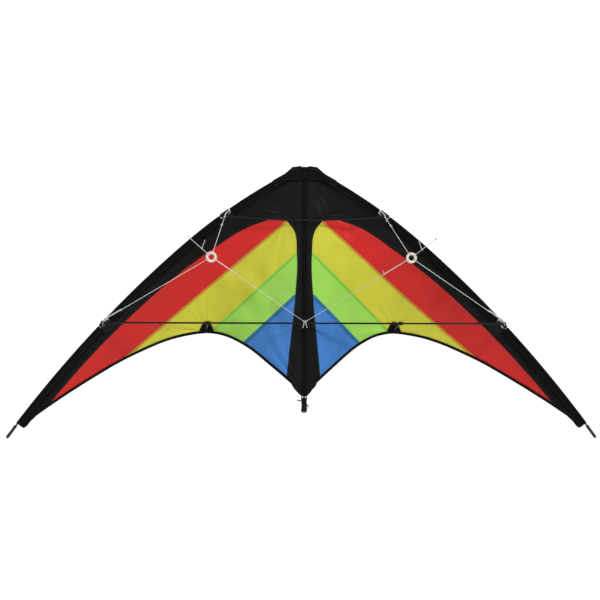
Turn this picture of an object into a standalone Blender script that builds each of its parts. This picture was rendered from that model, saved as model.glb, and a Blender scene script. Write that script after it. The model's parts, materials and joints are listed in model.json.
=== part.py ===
"""Dual-line delta kite, modelled nose up with its bridle side facing -Y.

The origin is the middle of the centre T's flat front face.  +X runs along the
span, +Y points behind the sail and +Z points from the tail to the nose.
Sizes are in metres.  Each piece of one wing is built twice, with side = -1 for
the left wing and side = +1 for the right.
"""
import bisect
import math

import bmesh
import bpy
from mathutils import Matrix, Vector

# ---- driving dimensions -------------------------------------------------
SPAR_Y = 0.014            # plane of the spine and the leading-edge rods
SPREADER_Y = 0.005        # plane of both spreaders, in front of the spars
CORD_Y = -0.0015          # plane of the bridle's tie points
ROD_R = 0.0020
UPPER_ROD_R = 0.0016
BORE_R = 0.00235          # holes of the moulded fittings
SLEEVE_R = 0.0034         # outside of the leading-edge sleeve
SLEEVE_WALL = 0.0006
CLOTH = 0.0008            # plates that stand for one layer of cloth
WEBBING = 0.0009          # plates that stand for the nose webbing
SEAM_GAP = 0.0005         # each panel stops this far short of its seam
TAPE_W = 0.0060           # hem tape along the trailing edge
GAP = 0.0005              # clearance at the open pivots
EDGE_STEP = 0.008         # step in t over which an edge's direction is taken

NOSE_TOP = 0.3450
NOSE_MOUTH = 0.3190       # the nose webbing is open below this height
SPINE_TOP = 0.3390
SPINE_BOTTOM = -0.1880
CLOTH_TOP = 0.3165        # the sail and its tunnel stop just below the nose webbing
TUNNEL_BOTTOM = -0.1600
TUNNEL_HALF_W = 0.0050    # spine tunnel, a flattened sleeve
TUNNEL_HALF_D = 0.0031
CENTRE_EDGE = 0.0056      # where each wing's cloth starts beside the tunnel

# places (x, z) on the right wing that its outline and seams pass through
NOSE_SHOULDER = (0.022, 0.335)
ROD_TIP = (0.648, -0.250)
LEADING_EDGE = (NOSE_SHOULDER, (0.176, 0.240), (0.342, 0.099), (0.440, 0.000), ROD_TIP)
SAIL_TAIL = (0.000, -0.159)
SAIL_STANDOFF = (0.212, -0.024)
SAIL_TIP = (0.600, -0.214)
INNER_TRAILING = (SAIL_TAIL, (0.066, -0.100), (0.133, -0.048), (0.172, -0.030), SAIL_STANDOFF)
OUTER_TRAILING = (SAIL_STANDOFF, (0.270, -0.033), (0.378, -0.075), (0.478, -0.132), SAIL_TIP)
BAND_CORNER = (0.038, 0.225)
LEADING_BAND = (BAND_CORNER, (0.060, 0.230), (0.106, 0.219), (0.214, 0.155), (0.394, 0.003),
                (0.563, -0.184))
CENTRE_STRIP = (BAND_CORNER, (0.0225, 0.204), (0.0155, 0.150), (0.0185, 0.060),
                (0.0265, -0.024), (0.0365, -0.122))
SEAM_ENDS_X = {"red": 0.3975, "yellow": 0.2015, "green": 0.1296}
BAND_START = 0.012        # share of the band's edge left out at its corner
YELLOW_START = 0.006      # shares of two seams left out where panels come to a point
BLUE_START = 0.030
STRIP_TOP_START = 0.003
PINNED_SHARE = 1 / 12     # the stretch of an edge that is drawn over to its corner
YELLOW_STRIP_END = 0.98
YELLOW_TOP_Z = 0.154
GREEN_TOP_Z = 0.0605

STANDOFF_X = SAIL_STANDOFF[0]
BILLOW = 0.132            # how far the standoffs push the sail back
BILLOW_TIP_X = 0.600
RIDGE_ROUNDING = 0.10     # how softly the cloth bends over the standoffs
UPPER_CONNECTOR_Z = 0.2400
LOWER_SPREADER_Z = 0.0
UPPER_SPREADER_Z = 0.2260
UPPER_SPREADER_RISE = 0.0085
T_HALF = 0.013            # half length of the centre T's arms and barrel
ARM_R = 0.0040
BARREL_R = 0.0048
CONNECTOR_L = 0.022
SLEEVE_START_T = 0.004    # shares of the leading edge's length
SLEEVE_CUT_T = 0.0165     # half of the cut-out round each connector
SLEEVE_END_T = 0.958
TIP_CAP_R = 0.0030
TIP_CAP_DEPTH = 0.0300    # how far the cap reaches over the rod
TIP_CAP_NOSE = 0.0030     # how far it stands past the rod's end
TENSION_LINE_R = 0.0006
PATCH_FORWARD = 0.0040    # the standoff patch's plate lies this far in front of the sail
ARM_L = 0.026             # a connector's arm
ARM_OVERHANG = 0.0060     # how far the arm stands outboard of the leading-edge rod
ROD_SHORT_OF_ARM = 0.0042 # the spreader stops this far short of the arm's closed end

RING_CENTRE = (0.212, -0.186, 0.141)
RING_MAJOR = 0.0088
RING_MINOR = 0.0030
BRIDLE_R = 0.0007
LEADER_R = 0.0006
TIE_GAP = 0.0028           # each leg's solid starts this far from its tie point
UPPER_TIE = (0.1765, CORD_Y, 0.2330)
LOWER_TIE = (0.4390, CORD_Y, 0.0060)
CENTRE_TIE = (0.0022, CORD_Y, 0.0040)
LEADER_END = (0.262, -0.222, 0.183)

BLACK_CLOTH = (0.012, 0.012, 0.013)
BLACK_MOULDED = (0.010, 0.010, 0.011)
BLACK_GLASSFIBRE = (0.016, 0.016, 0.018)
RED = (0.560, 0.022, 0.020)
YELLOW = (0.560, 0.500, 0.045)
GREEN = (0.290, 0.620, 0.110)
BLUE = (0.050, 0.220, 0.560)
OFF_WHITE = (0.720, 0.700, 0.640)


# ---- scene and small helpers ---------------------------------------------
for old in list(bpy.data.objects):
    bpy.data.objects.remove(old, do_unlink=True)

kite = bpy.data.collections.new("delta_kite")
cutters = bpy.data.collections.new("cutters")
bpy.context.scene.collection.children.link(kite)
bpy.context.scene.collection.children.link(cutters)


def finish_piece(obj, colour, roughness, hinge=None):
    """Give a piece its own material and hang it on its hinge's empty."""
    surface = bpy.data.materials.new(obj.name)
    surface.use_nodes = True
    shader = surface.node_tree.nodes["Principled BSDF"]
    shader.inputs["Base Color"].default_value = (*colour, 1.0)
    shader.inputs["Roughness"].default_value = roughness
    shader.inputs["Metallic"].default_value = 0.0
    obj.data.materials.append(surface)
    if hinge:
        obj.parent = hinge
        obj.matrix_parent_inverse = hinge.matrix_world.inverted()
    return obj


def hinge_empty(name, location, parent=None):
    """An empty on a joint's axis, which carries the pieces that turn with it."""
    empty = bpy.data.objects.new(name, None)
    kite.objects.link(empty)
    empty.location = location
    bpy.context.view_layer.update()
    if parent:
        empty.parent = parent
        empty.matrix_parent_inverse = parent.matrix_world.inverted()
        bpy.context.view_layer.update()
    return empty


def mesh_piece(name, bm, collection=kite):
    """Turn a bmesh into an object with smooth sides and sharp rims."""
    mesh = bpy.data.meshes.new(name)
    bm.to_mesh(mesh)
    bm.free()
    mesh.shade_smooth()
    mesh.set_sharp_from_angle(angle=math.radians(40))
    obj = bpy.data.objects.new(name, mesh)
    collection.objects.link(obj)
    return obj


def sideways(point, side):
    """A right-wing point moved to the given wing."""
    return Vector((side * point[0], point[1], point[2]))


def side_name(side):
    return "right" if side > 0 else "left"


def curve_through(places):
    """Smooth curve through the places, as a function of t from 0 to 1 by length."""
    knots = [0.0]
    for a, b in zip(places, places[1:]):
        knots.append(knots[-1] + math.dist(a, b))
    steps = [b - a for a, b in zip(knots, knots[1:])]
    slopes = []
    for axis in (0, 1):
        runs = [(b[axis] - a[axis]) / step for a, b, step in zip(places, places[1:], steps)]
        inner = [(r0 * s1 + r1 * s0) / (s0 + s1)
                 for r0, r1, s0, s1 in zip(runs, runs[1:], steps, steps[1:])]
        slopes.append([2 * runs[0] - inner[0]] + inner + [2 * runs[-1] - inner[-1]])

    def point(t):
        along = t * knots[-1]
        span = min(len(steps) - 1, max(0, bisect.bisect_right(knots, along) - 1))
        step = steps[span]
        s = (along - knots[span]) / step
        rise = s * s * (3 - 2 * s)
        result = []
        for axis in (0, 1):
            start = places[span][axis]
            end = places[span + 1][axis]
            leave = slopes[axis][span] * step * s * (1 - s) ** 2
            arrive = slopes[axis][span + 1] * step * s * s * (s - 1)
            result.append(start + (end - start) * rise + leave + arrive)
        return tuple(result)
    return point


def solve(function, target, low=0.0, high=1.0):
    """Parameter at which a rising function reaches the target, by halving."""
    for _ in range(40):
        middle = (low + high) / 2
        if function(middle) < target:
            low = middle
        else:
            high = middle
    return (low + high) / 2


# ---- outline of one wing ---------------------------------------------------
leading_edge = curve_through(LEADING_EDGE)
inner_trailing = curve_through(INNER_TRAILING)
outer_trailing = curve_through(OUTER_TRAILING)


def leading_t_at_z(z):
    return solve(lambda t: -leading_edge(t)[1], -z)


def leading_direction(t):
    """Unit (x, z) direction of the leading edge, towards the tip."""
    ahead = leading_edge(min(t + EDGE_STEP, 1.0))
    behind = leading_edge(max(t - EDGE_STEP, 0.0))
    run = Vector((ahead[0] - behind[0], ahead[1] - behind[1]))
    return run.normalized()


def inside_leading_edge(t, distance):
    """Point a distance inboard of the leading edge, on the sail."""
    x, z = leading_edge(t)
    direction = leading_direction(t)
    return (x + direction.y * distance, z - direction.x * distance)


def trailing_edge(t):
    """Trailing edge from the tail (t = 0) by the standoff (1) to the tip (2)."""
    if t <= 1.0:
        return inner_trailing(t)
    return outer_trailing(t - 1.0)


def trailing_t_at_x(x):
    return solve(lambda t: trailing_edge(t)[0], x, 0.0, 2.0)


def above_trailing_edge(t, distance):
    """Point a distance inside the trailing edge, on the sail."""
    ahead = trailing_edge(min(t + EDGE_STEP, 2.0))
    behind = trailing_edge(max(t - EDGE_STEP, 0.0))
    run = Vector((ahead[0] - behind[0], ahead[1] - behind[1])).normalized()
    x, z = trailing_edge(t)
    return (x - run.y * distance, z + run.x * distance)


def billow(x, z):
    """How far the cloth stands behind the spars' plane at (x, z)."""
    inboard = x / STANDOFF_X
    reach = max(0.0, (BILLOW_TIP_X - x) / (BILLOW_TIP_X - STANDOFF_X))
    outboard = reach * (1.3 - 0.3 * reach)
    half_sum = (inboard + outboard) / 2
    half_gap = (inboard - outboard) / 2
    edge = BILLOW * max(0.0, half_sum - math.hypot(half_gap, RIDGE_ROUNDING))
    top = leading_edge(solve(lambda t: leading_edge(t)[0], x))[1]
    bottom = trailing_edge(trailing_t_at_x(x))[1]
    down = min(1.0, max(0.0, (top - z) / (top - bottom)))
    return edge * down * (1.4 - 0.4 * down)


def on_sail(x, z, side, forward=0.0):
    """World point of the cloth at (x, z), or a little in front of it."""
    return Vector((side * x, SPAR_Y + billow(x, z) - forward, z))


# ---- builders ----------------------------------------------------------------
def rod_piece(name, points, radius, caps=True):
    """Round rod or cord through a list of world points."""
    data = bpy.data.curves.new(name, "CURVE")
    data.dimensions = "3D"
    data.bevel_depth = radius
    data.bevel_resolution = 2
    data.use_fill_caps = caps
    spline = data.splines.new("POLY")
    spline.points.add(len(points) - 1)
    for slot, point in zip(spline.points, points):
        slot.co = (*point, 1.0)
    obj = bpy.data.objects.new(name, data)
    kite.objects.link(obj)
    return obj


def as_mesh(curve_object):
    """Replace a curve object by a mesh object of the same name and place."""
    bpy.context.view_layer.update()
    graph = bpy.context.evaluated_depsgraph_get()
    mesh = bpy.data.meshes.new_from_object(curve_object.evaluated_get(graph))
    name = curve_object.name
    place = curve_object.matrix_world.copy()
    bpy.data.objects.remove(curve_object, do_unlink=True)
    bm = bmesh.new()
    bm.from_mesh(mesh)
    bmesh.ops.remove_doubles(bm, verts=bm.verts, dist=0.00002)
    bpy.data.meshes.remove(mesh)
    obj = mesh_piece(name, bm)
    obj.matrix_world = place
    return obj


def thicken(obj, thickness, offset):
    solid = obj.modifiers.new("thickness", "SOLIDIFY")
    solid.thickness = thickness
    solid.offset = offset
    return obj


def sleeve_piece(name, points):
    """Round cloth sleeve, open at both ends, around a rod."""
    tube = as_mesh(rod_piece(name, points, SLEEVE_R, caps=False))
    return thicken(tube, SLEEVE_WALL, -1.0)


def grid_piece(name, surface, columns, rows, thickness):
    """Thin plate on surface(u, v), with u and v from 0 to 1."""
    bm = bmesh.new()
    bmesh.ops.create_grid(bm, x_segments=columns, y_segments=rows, size=0.5)
    for vert in bm.verts:
        vert.co = surface(vert.co.x + 0.5, vert.co.y + 0.5)
    return thicken(mesh_piece(name, bm), thickness, 0.0)


def coons(low, high, start, end, fade=3):
    """Surface between four (x, z) edges: low and high run along u.

    The shapes of the start and end edges fade inwards, faster for a higher fade.
    """
    def point(u, v):
        result = []
        for axis in (0, 1):
            ruled = (1 - v) * low(u)[axis] + v * high(u)[axis]
            at_start = start(v)[axis] - (1 - v) * low(0)[axis] - v * high(0)[axis]
            at_end = end(v)[axis] - (1 - v) * low(1)[axis] - v * high(1)[axis]
            result.append(ruled + at_start * (1 - u) ** fade + at_end * u ** fade)
        return tuple(result)
    return point


def line(a, b):
    """Straight edge from a to b."""
    return lambda t: (a[0] + (b[0] - a[0]) * t, a[1] + (b[1] - a[1]) * t)


def shifted(edge, distance):
    """An edge moved sideways: to the left of its own direction."""
    def point(t):
        ahead = edge(min(t + EDGE_STEP, 1.0))
        behind = edge(max(t - EDGE_STEP, 0.0))
        run = Vector((ahead[0] - behind[0], ahead[1] - behind[1])).normalized()
        x, z = edge(t)
        return (x - run.y * distance, z + run.x * distance)
    return point


def part_of(edge, first, last):
    """The stretch of an edge between two of its parameters."""
    return lambda t: edge(first + (last - first) * t)


def cylinder(name, centre, direction, radius, length, collection=cutters, sides=16):
    """Cylinder with its middle at centre and its axis along direction."""
    bm = bmesh.new()
    bmesh.ops.create_cone(bm, cap_ends=True, segments=sides, radius1=radius,
                          radius2=radius, depth=length)
    turn = Vector(direction).to_track_quat("Z", "Y").to_matrix().to_4x4()
    bmesh.ops.transform(bm, matrix=Matrix.Translation(centre) @ turn, verts=bm.verts)
    return mesh_piece(name, bm, collection)


def block(name, centre, size, collection=cutters):
    bm = bmesh.new()
    bmesh.ops.create_cube(bm, size=1.0)
    bmesh.ops.scale(bm, vec=Vector(size), verts=bm.verts)
    bmesh.ops.translate(bm, vec=Vector(centre), verts=bm.verts)
    return mesh_piece(name, bm, collection)


def combine(target, tool, operation):
    """Join a tool to the target or cut it out, and hide the tool."""
    change = target.modifiers.new(operation.lower(), "BOOLEAN")
    change.operation = operation
    change.solver = "EXACT"
    change.object = tool
    tool.hide_render = True
    tool.display_type = "WIRE"


def cup_piece(name, mouth, direction, radius, bore, length, wall):
    """Moulded cap: a short cylinder with a blind hole from its mouth."""
    along = Vector(direction).normalized()
    cup = cylinder(name, Vector(mouth) + along * length / 2, along, radius, length, kite)
    depth = length - wall
    hole = cylinder(name + "_hole", Vector(mouth) + along * (depth - length) / 2, along,
                    bore, depth + length)
    combine(cup, hole, "DIFFERENCE")
    return cup


# ---- the fixed middle of the kite -----------------------------------------------
def build_spine():
    spine_middle = (SPINE_BOTTOM + SPINE_TOP) / 2
    spine = rod_piece("spine_rod", [(0, SPAR_Y, z) for z in (SPINE_BOTTOM, spine_middle, SPINE_TOP)],
                      ROD_R)
    finish_piece(spine, BLACK_GLASSFIBRE, 0.35)
    window_half = T_HALF + 3 * GAP
    stretches = {"spine_tunnel_upper": (window_half, CLOTH_TOP),
                 "spine_tunnel_lower": (TUNNEL_BOTTOM, -window_half)}
    for name, (low, high) in stretches.items():
        def wall(u, v, low=low, high=high):
            turn = 2 * math.pi * u
            return (TUNNEL_HALF_W * math.cos(turn),
                    SPAR_Y - TUNNEL_HALF_D * math.sin(turn), low + (high - low) * v)
        bm = bmesh.new()
        bmesh.ops.create_grid(bm, x_segments=16, y_segments=2, size=0.5)
        for vert in bm.verts:
            vert.co = wall(vert.co.x + 0.5, vert.co.y + 0.5)
        bmesh.ops.remove_doubles(bm, verts=bm.verts, dist=0.00005)
        bmesh.ops.recalc_face_normals(bm, faces=bm.faces)
        tunnel = thicken(mesh_piece(name, bm), SLEEVE_WALL, -1.0)
        finish_piece(tunnel, BLACK_CLOTH, 0.8)


def build_nose_pocket():
    """Webbing folded over the top of the spine, open towards the tail."""
    half_depth = 0.0044

    def fold(u, v):
        x = (u - 0.5) * 2 * TUNNEL_HALF_W
        y, z = folded_over(v, NOSE_MOUTH, NOSE_TOP, half_depth)
        return (x, SPAR_Y + y, z)
    pocket = grid_piece("nose_pocket", fold, 2, 12, WEBBING)
    finish_piece(pocket, BLACK_CLOTH, 0.75)


def folded_over(v, bottom, top, half_depth):
    """(y, z) on a strap that goes up the front, over the top and down the back."""
    if v < 0.25:
        return (-half_depth, bottom + (top - half_depth - bottom) * v / 0.25)
    if v > 0.75:
        return (half_depth, bottom + (top - half_depth - bottom) * (1 - v) / 0.25)
    turn = math.pi * (v - 0.25) / 0.5
    return (-half_depth * math.cos(turn), top - half_depth + half_depth * math.sin(turn))


def build_centre_t():
    """Moulded T: a barrel on the spine, an arm for the spreaders, a flat front."""
    web_w = 0.0070
    front_w = 0.0140
    height = 0.0180
    body = cylinder("centre_t", (0, SPREADER_Y, 0), (1, 0, 0), ARM_R, 2 * T_HALF, kite)
    barrel = cylinder("centre_t_barrel", (0, SPAR_Y, 0), (0, 0, 1), BARREL_R, 2 * T_HALF)
    web = block("centre_t_web", (0, (SPREADER_Y + SPAR_Y) / 2, 0),
                (web_w, SPAR_Y - SPREADER_Y, height))
    front = block("centre_t_front", (0, SPREADER_Y / 2, 0), (front_w, SPREADER_Y, height))
    for joined in (barrel, web, front):
        combine(body, joined, "UNION")
    arm_bore = cylinder("centre_t_arm_bore", (0, SPREADER_Y, 0), (1, 0, 0), BORE_R, 4 * T_HALF)
    spine_bore = cylinder("centre_t_spine_bore", (0, SPAR_Y, 0), (0, 0, 1), BORE_R, 4 * T_HALF)
    for bore in (arm_bore, spine_bore):
        combine(body, bore, "DIFFERENCE")
    finish_piece(body, BLACK_MOULDED, 0.5)


def build_tail():
    mouth_z = -0.1640
    nock_l = 0.0305
    end_wall = 0.0060
    nock = cup_piece("tail_nock", (0, SPAR_Y, mouth_z), (0, 0, -1), BARREL_R, BORE_R,
                     nock_l, end_wall)
    finish_piece(nock, BLACK_MOULDED, 0.5)
    strand_x = 0.0062
    cord_r = 0.0009
    turn_z = mouth_z - nock_l - GAP
    turn_depth = 0.0042
    start_z = mouth_z + 3 * GAP
    loop = [(-strand_x, SPAR_Y, start_z), (-strand_x, SPAR_Y, turn_z)]
    turn_steps = 8
    for step in range(1, turn_steps):
        angle = math.pi * step / turn_steps
        loop.append((-strand_x * math.cos(angle), SPAR_Y, turn_z - turn_depth * math.sin(angle)))
    loop += [(strand_x, SPAR_Y, turn_z), (strand_x, SPAR_Y, start_z)]
    finish_piece(rod_piece("tail_shock_cord", loop, cord_r), BLACK_CLOTH, 0.8)


# ---- one wing --------------------------------------------------------------------
def spar_point(t, side, y=SPAR_Y):
    x, z = leading_edge(t)
    return sideways((x, y, z), side)


def tip_direction(side):
    """Unit direction in which the leading-edge rod ends."""
    direction = leading_direction(1.0)
    return sideways((direction.x, 0, direction.y), side)


def build_spars(side, hinge):
    """Leading-edge rod, its three lengths of sleeve and the cap on its tip."""
    label = side_name(side)
    steps = 18
    rod = rod_piece(f"{label}_leading_edge_rod",
                    [spar_point(step / steps, side) for step in range(steps + 1)], ROD_R)
    finish_piece(rod, BLACK_GLASSFIBRE, 0.35, hinge)
    upper_t = leading_t_at_z(UPPER_CONNECTOR_Z)
    lower_t = leading_t_at_z(LOWER_SPREADER_Z)
    stretches = {"upper": (SLEEVE_START_T, upper_t - SLEEVE_CUT_T),
                 "middle": (upper_t + SLEEVE_CUT_T, lower_t - SLEEVE_CUT_T),
                 "lower": (lower_t + SLEEVE_CUT_T, SLEEVE_END_T)}
    count = 6
    for place, (first, last) in stretches.items():
        points = [spar_point(first + (last - first) * step / count, side)
                  for step in range(count + 1)]
        sleeve = sleeve_piece(f"{label}_sleeve_{place}", points)
        finish_piece(sleeve, BLACK_CLOTH, 0.8, hinge)
    along = tip_direction(side)
    mouth = spar_point(1.0, side) - along * TIP_CAP_DEPTH
    end_wall = 0.0020
    cap = cup_piece(f"{label}_tip_cap", mouth, along, TIP_CAP_R, BORE_R,
                    TIP_CAP_DEPTH + TIP_CAP_NOSE, end_wall)
    finish_piece(cap, BLACK_MOULDED, 0.45, hinge)


def build_tension_line(side, hinge):
    """Cord from the sail's tip along the cap and round its end."""
    label = side_name(side)
    along = tip_direction(side)
    front = Vector((0, -1, 0))
    end = spar_point(1.0, side) + along * TIP_CAP_NOSE
    lift = TIP_CAP_R + 2 * GAP
    reach = TIP_CAP_DEPTH + 0.0020
    bulge = 0.0022
    shoulder = 0.0010
    points = [end - along * reach + front * lift, end - along * shoulder + front * lift]
    turn_steps = 6
    for step in range(1, turn_steps):
        angle = math.pi * step / turn_steps
        points.append(end + front * lift * math.cos(angle) + along * bulge * math.sin(angle))
    points += [end - along * shoulder - front * lift, end - along * reach - front * lift]
    line_piece = rod_piece(f"{label}_tension_line", points, TENSION_LINE_R)
    finish_piece(line_piece, OFF_WHITE, 0.8, hinge)


def build_connector(name, centre, spar_direction, arm_from, arm_to, bore_r, hinge):
    """Moulded fitting: a barrel on the leading edge and an arm for a spreader."""
    arm_from = Vector(arm_from)
    arm_to = Vector(arm_to)
    arm_way = (arm_to - arm_from).normalized()
    arm_l = (arm_to - arm_from).length
    web_w = 0.0060
    body = cylinder(name, centre, spar_direction, BARREL_R, CONNECTOR_L, kite)
    arm = cylinder(name + "_arm", (arm_from + arm_to) / 2, arm_way, ARM_R, arm_l)
    web = block(name + "_web", Vector(centre) + Vector((0, (SPREADER_Y - SPAR_Y) / 2, 0)),
                (web_w, SPAR_Y - SPREADER_Y, web_w))
    for joined in (arm, web):
        combine(body, joined, "UNION")
    spar_bore = cylinder(name + "_spar_bore", centre, spar_direction, BORE_R, 2 * CONNECTOR_L)
    blind = 0.0030
    bore_start = arm_from + arm_way * blind
    bore_end = arm_to + arm_way * blind
    arm_bore = cylinder(name + "_arm_bore", (bore_start + bore_end) / 2, arm_way, bore_r,
                        (bore_end - bore_start).length)
    for bore in (spar_bore, arm_bore):
        combine(body, bore, "DIFFERENCE")
    return finish_piece(body, BLACK_MOULDED, 0.5, hinge)


def upper_spreader_point(x):
    """The upper spreader bows a little towards the nose at its ends."""
    rise = UPPER_SPREADER_RISE * (x / 0.170) ** 2
    return Vector((x, SPREADER_Y, UPPER_SPREADER_Z + rise))


def build_connectors(side, hinge):
    label = side_name(side)
    upper_t = leading_t_at_z(UPPER_CONNECTOR_Z)
    lower_t = leading_t_at_z(LOWER_SPREADER_Z)
    for place, t in (("upper", upper_t), ("lower", lower_t)):
        direction = leading_direction(t)
        way = sideways((direction.x, 0, direction.y), side)
        centre = spar_point(t, side)
        outer_x = leading_edge(t)[0] + ARM_OVERHANG
        inner_x = outer_x - ARM_L
        if place == "upper":
            outer = upper_spreader_point(outer_x)
            inner = upper_spreader_point(inner_x)
            bore_r = BORE_R - ROD_R + UPPER_ROD_R
        else:
            outer = Vector((outer_x, SPREADER_Y, LOWER_SPREADER_Z))
            inner = Vector((inner_x, SPREADER_Y, LOWER_SPREADER_Z))
            bore_r = BORE_R
        build_connector(f"{label}_{place}_connector", centre, way, sideways(outer, side),
                        sideways(inner, side), bore_r, hinge)


def build_lower_spreader(side, hinge):
    start = (side * (T_HALF + GAP), SPREADER_Y, LOWER_SPREADER_Z)
    middle = (side * STANDOFF_X, SPREADER_Y, LOWER_SPREADER_Z)
    outer_x = leading_edge(leading_t_at_z(LOWER_SPREADER_Z))[0] + ARM_OVERHANG - ROD_SHORT_OF_ARM
    end = (side * outer_x, SPREADER_Y, LOWER_SPREADER_Z)
    rod = rod_piece(f"{side_name(side)}_lower_spreader", [start, middle, end], ROD_R)
    finish_piece(rod, BLACK_GLASSFIBRE, 0.35, hinge)


def build_upper_spreader(hinge):
    """One rod, held in the right connector, that stops at the left one's mouth."""
    reach = leading_edge(leading_t_at_z(UPPER_CONNECTOR_Z))[0] + ARM_OVERHANG
    left_end = -(reach - ARM_L - GAP)
    right_end = reach - ROD_SHORT_OF_ARM
    count = 8
    points = [upper_spreader_point(left_end + (right_end - left_end) * step / count)
              for step in range(count + 1)]
    finish_piece(rod_piece("upper_spreader", points, UPPER_ROD_R), BLACK_GLASSFIBRE, 0.35, hinge)


# ---- the sail ----------------------------------------------------------------------
def hem_z(x):
    """Height at which the panels stop, just above the hem tape."""
    t = trailing_t_at_x(x)
    ahead = trailing_edge(min(t + EDGE_STEP, 2.0))
    behind = trailing_edge(max(t - EDGE_STEP, 0.0))
    slope = (ahead[1] - behind[1]) / (ahead[0] - behind[0])
    return trailing_edge(t)[1] + (TAPE_W + 2 * SEAM_GAP) * math.hypot(1.0, slope)


def on_hem(x):
    return (x, hem_z(x))


def hem_between(first, last):
    """The panels' lower limit from corner to corner."""
    def point(t):
        x = first[0] + (last[0] - first[0]) * t
        drop = (1 - t) * (first[1] - hem_z(first[0])) + t * (last[1] - hem_z(last[0]))
        return (x, hem_z(x) + drop)
    return point


band_edge = curve_through(LEADING_BAND)
strip_edge = curve_through(CENTRE_STRIP)


def panel_edges():
    """Lower and upper edge of every coloured panel, each from the middle out."""
    yellow_t = solve(lambda t: -strip_edge(t)[1], -YELLOW_TOP_Z)
    green_t = solve(lambda t: -strip_edge(t)[1], -GREEN_TOP_Z)
    strip_t = solve(lambda t: hem_z(strip_edge(t)[0]) - strip_edge(t)[1], 0.0, 0.5, 1.0)
    band_t = solve(lambda t: hem_z(band_edge(t)[0]) - band_edge(t)[1], 0.0, 0.5, 1.0)
    red_seam = line(BAND_CORNER, on_hem(SEAM_ENDS_X["red"]))
    yellow_seam = line(strip_edge(yellow_t), on_hem(SEAM_ENDS_X["yellow"]))
    green_seam = line(strip_edge(green_t), on_hem(SEAM_ENDS_X["green"]))
    beside_tunnel = line((CENTRE_EDGE, BAND_CORNER[1]), on_hem(CENTRE_EDGE))
    lower_strip = part_of(strip_edge, green_t, strip_t)
    full_strip = part_of(strip_edge, STRIP_TOP_START, strip_t)
    beside_strip = shifted(lambda t: strip_edge(1.0 - t), -SEAM_GAP)
    edges = {
        "red_panel": (red_seam, part_of(band_edge, 0.0, band_t), BAND_START, None),
        "yellow_panel": (yellow_seam, red_seam, YELLOW_START, (1 - yellow_t, YELLOW_STRIP_END)),
        "green_panel": (green_seam, yellow_seam, 0.0, (1 - green_t, 1 - yellow_t)),
        "blue_panel": (lower_strip, green_seam, BLUE_START, None),
        "centre_panel": (beside_tunnel, full_strip, 0.0, None),
    }
    trimmed = {}
    for name, (low, high, first, strip_range) in edges.items():
        low = part_of(shifted(low, SEAM_GAP), first, 1.0)
        high = part_of(shifted(high, -SEAM_GAP), first, 1.0)
        start = line(low(0), high(0))
        if strip_range:
            start = part_of(beside_strip, *strip_range)
            low = pinned(low, start(0))
            high = pinned(high, start(1))
        trimmed[name] = (low, high, start, hem_between(low(1), high(1)))
    return trimmed


def pinned(edge, start):
    """An edge whose first stretch is drawn over to start at a given corner."""
    def point(t):
        pull = max(0.0, 1.0 - t / PINNED_SHARE)
        return tuple(value + pull * (corner - first)
                     for value, corner, first in zip(edge(t), start, edge(0)))
    return point


def build_panels(side, hinge):
    looks = {"red_panel": (RED, 20, 4), "yellow_panel": (YELLOW, 16, 7),
             "green_panel": (GREEN, 10, 5), "blue_panel": (BLUE, 8, 4),
             "centre_panel": (BLACK_CLOTH, 28, 1)}
    for name, edges in panel_edges().items():
        colour, columns, rows = looks[name]
        flat = coons(*edges)

        def surface(u, v, flat=flat):
            x, z = flat(u, v)
            return on_sail(x, z, side)
        panel = grid_piece(f"{side_name(side)}_{name}", surface, columns, rows, CLOTH)
        finish_piece(panel, colour, 0.65, hinge)


def build_leading_panel(side, hinge):
    """Black cloth of the nose and the band behind the leading edge."""
    band_columns = 20
    corner_columns = 3
    columns = band_columns + 2 * corner_columns
    corner = corner_columns / columns
    tip_x = 0.5950
    corner_x = (0.066, 0.100)
    last_t = 0.950
    hem_share = 0.75
    band_t = solve(lambda t: hem_z(band_edge(t)[0]) - band_edge(t)[1], 0.0, 0.5, 1.0)
    below = line((CENTRE_EDGE, CLOTH_TOP), (CENTRE_EDGE, BAND_CORNER[1] + 2 * SEAM_GAP))
    band = shifted(part_of(band_edge, BAND_START * band_t, band_t), SEAM_GAP)
    across = line(below(1), band(0))

    def low(t):
        if t < corner:
            return below(t / corner)
        if t < 2 * corner:
            return across((t - corner) / corner)
        return band((t - 2 * corner) / (1 - 2 * corner))

    first_t, second_t = (solve(lambda t: leading_edge(t)[0], x) for x in corner_x)

    def high(t):
        if t < 2 * corner:
            along = first_t + (second_t - first_t) * t / (2 * corner)
        else:
            along = second_t + (last_t - second_t) * (t - 2 * corner) / (1 - 2 * corner)
        return inside_leading_edge(along, BARREL_R + GAP)
    hem = hem_between(low(1), on_hem(tip_x))

    def tip_end(v):
        if v < hem_share:
            return hem(v / hem_share)
        return line(on_hem(tip_x), high(1))((v - hem_share) / (1 - hem_share))
    flat = coons(low, high, line(low(0), high(0)), tip_end, fade=9)

    def surface(u, v):
        x, z = flat(u, v)
        return on_sail(x, z, side)
    panel = grid_piece(f"{side_name(side)}_leading_panel", surface, columns, 4, CLOTH)
    finish_piece(panel, BLACK_CLOTH, 0.7, hinge)


def build_hem_tape(side, hinge):
    """Black tape folded over the trailing edge from the tail to the tip."""
    first = trailing_t_at_x(CENTRE_EDGE)

    def surface(u, v):
        x, z = above_trailing_edge(first + (2.0 - first) * u, TAPE_W * v)
        return on_sail(max(x, CENTRE_EDGE), z, side)
    tape = grid_piece(f"{side_name(side)}_hem_tape", surface, 36, 1, CLOTH)
    finish_piece(tape, BLACK_CLOTH, 0.75, hinge)


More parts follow.
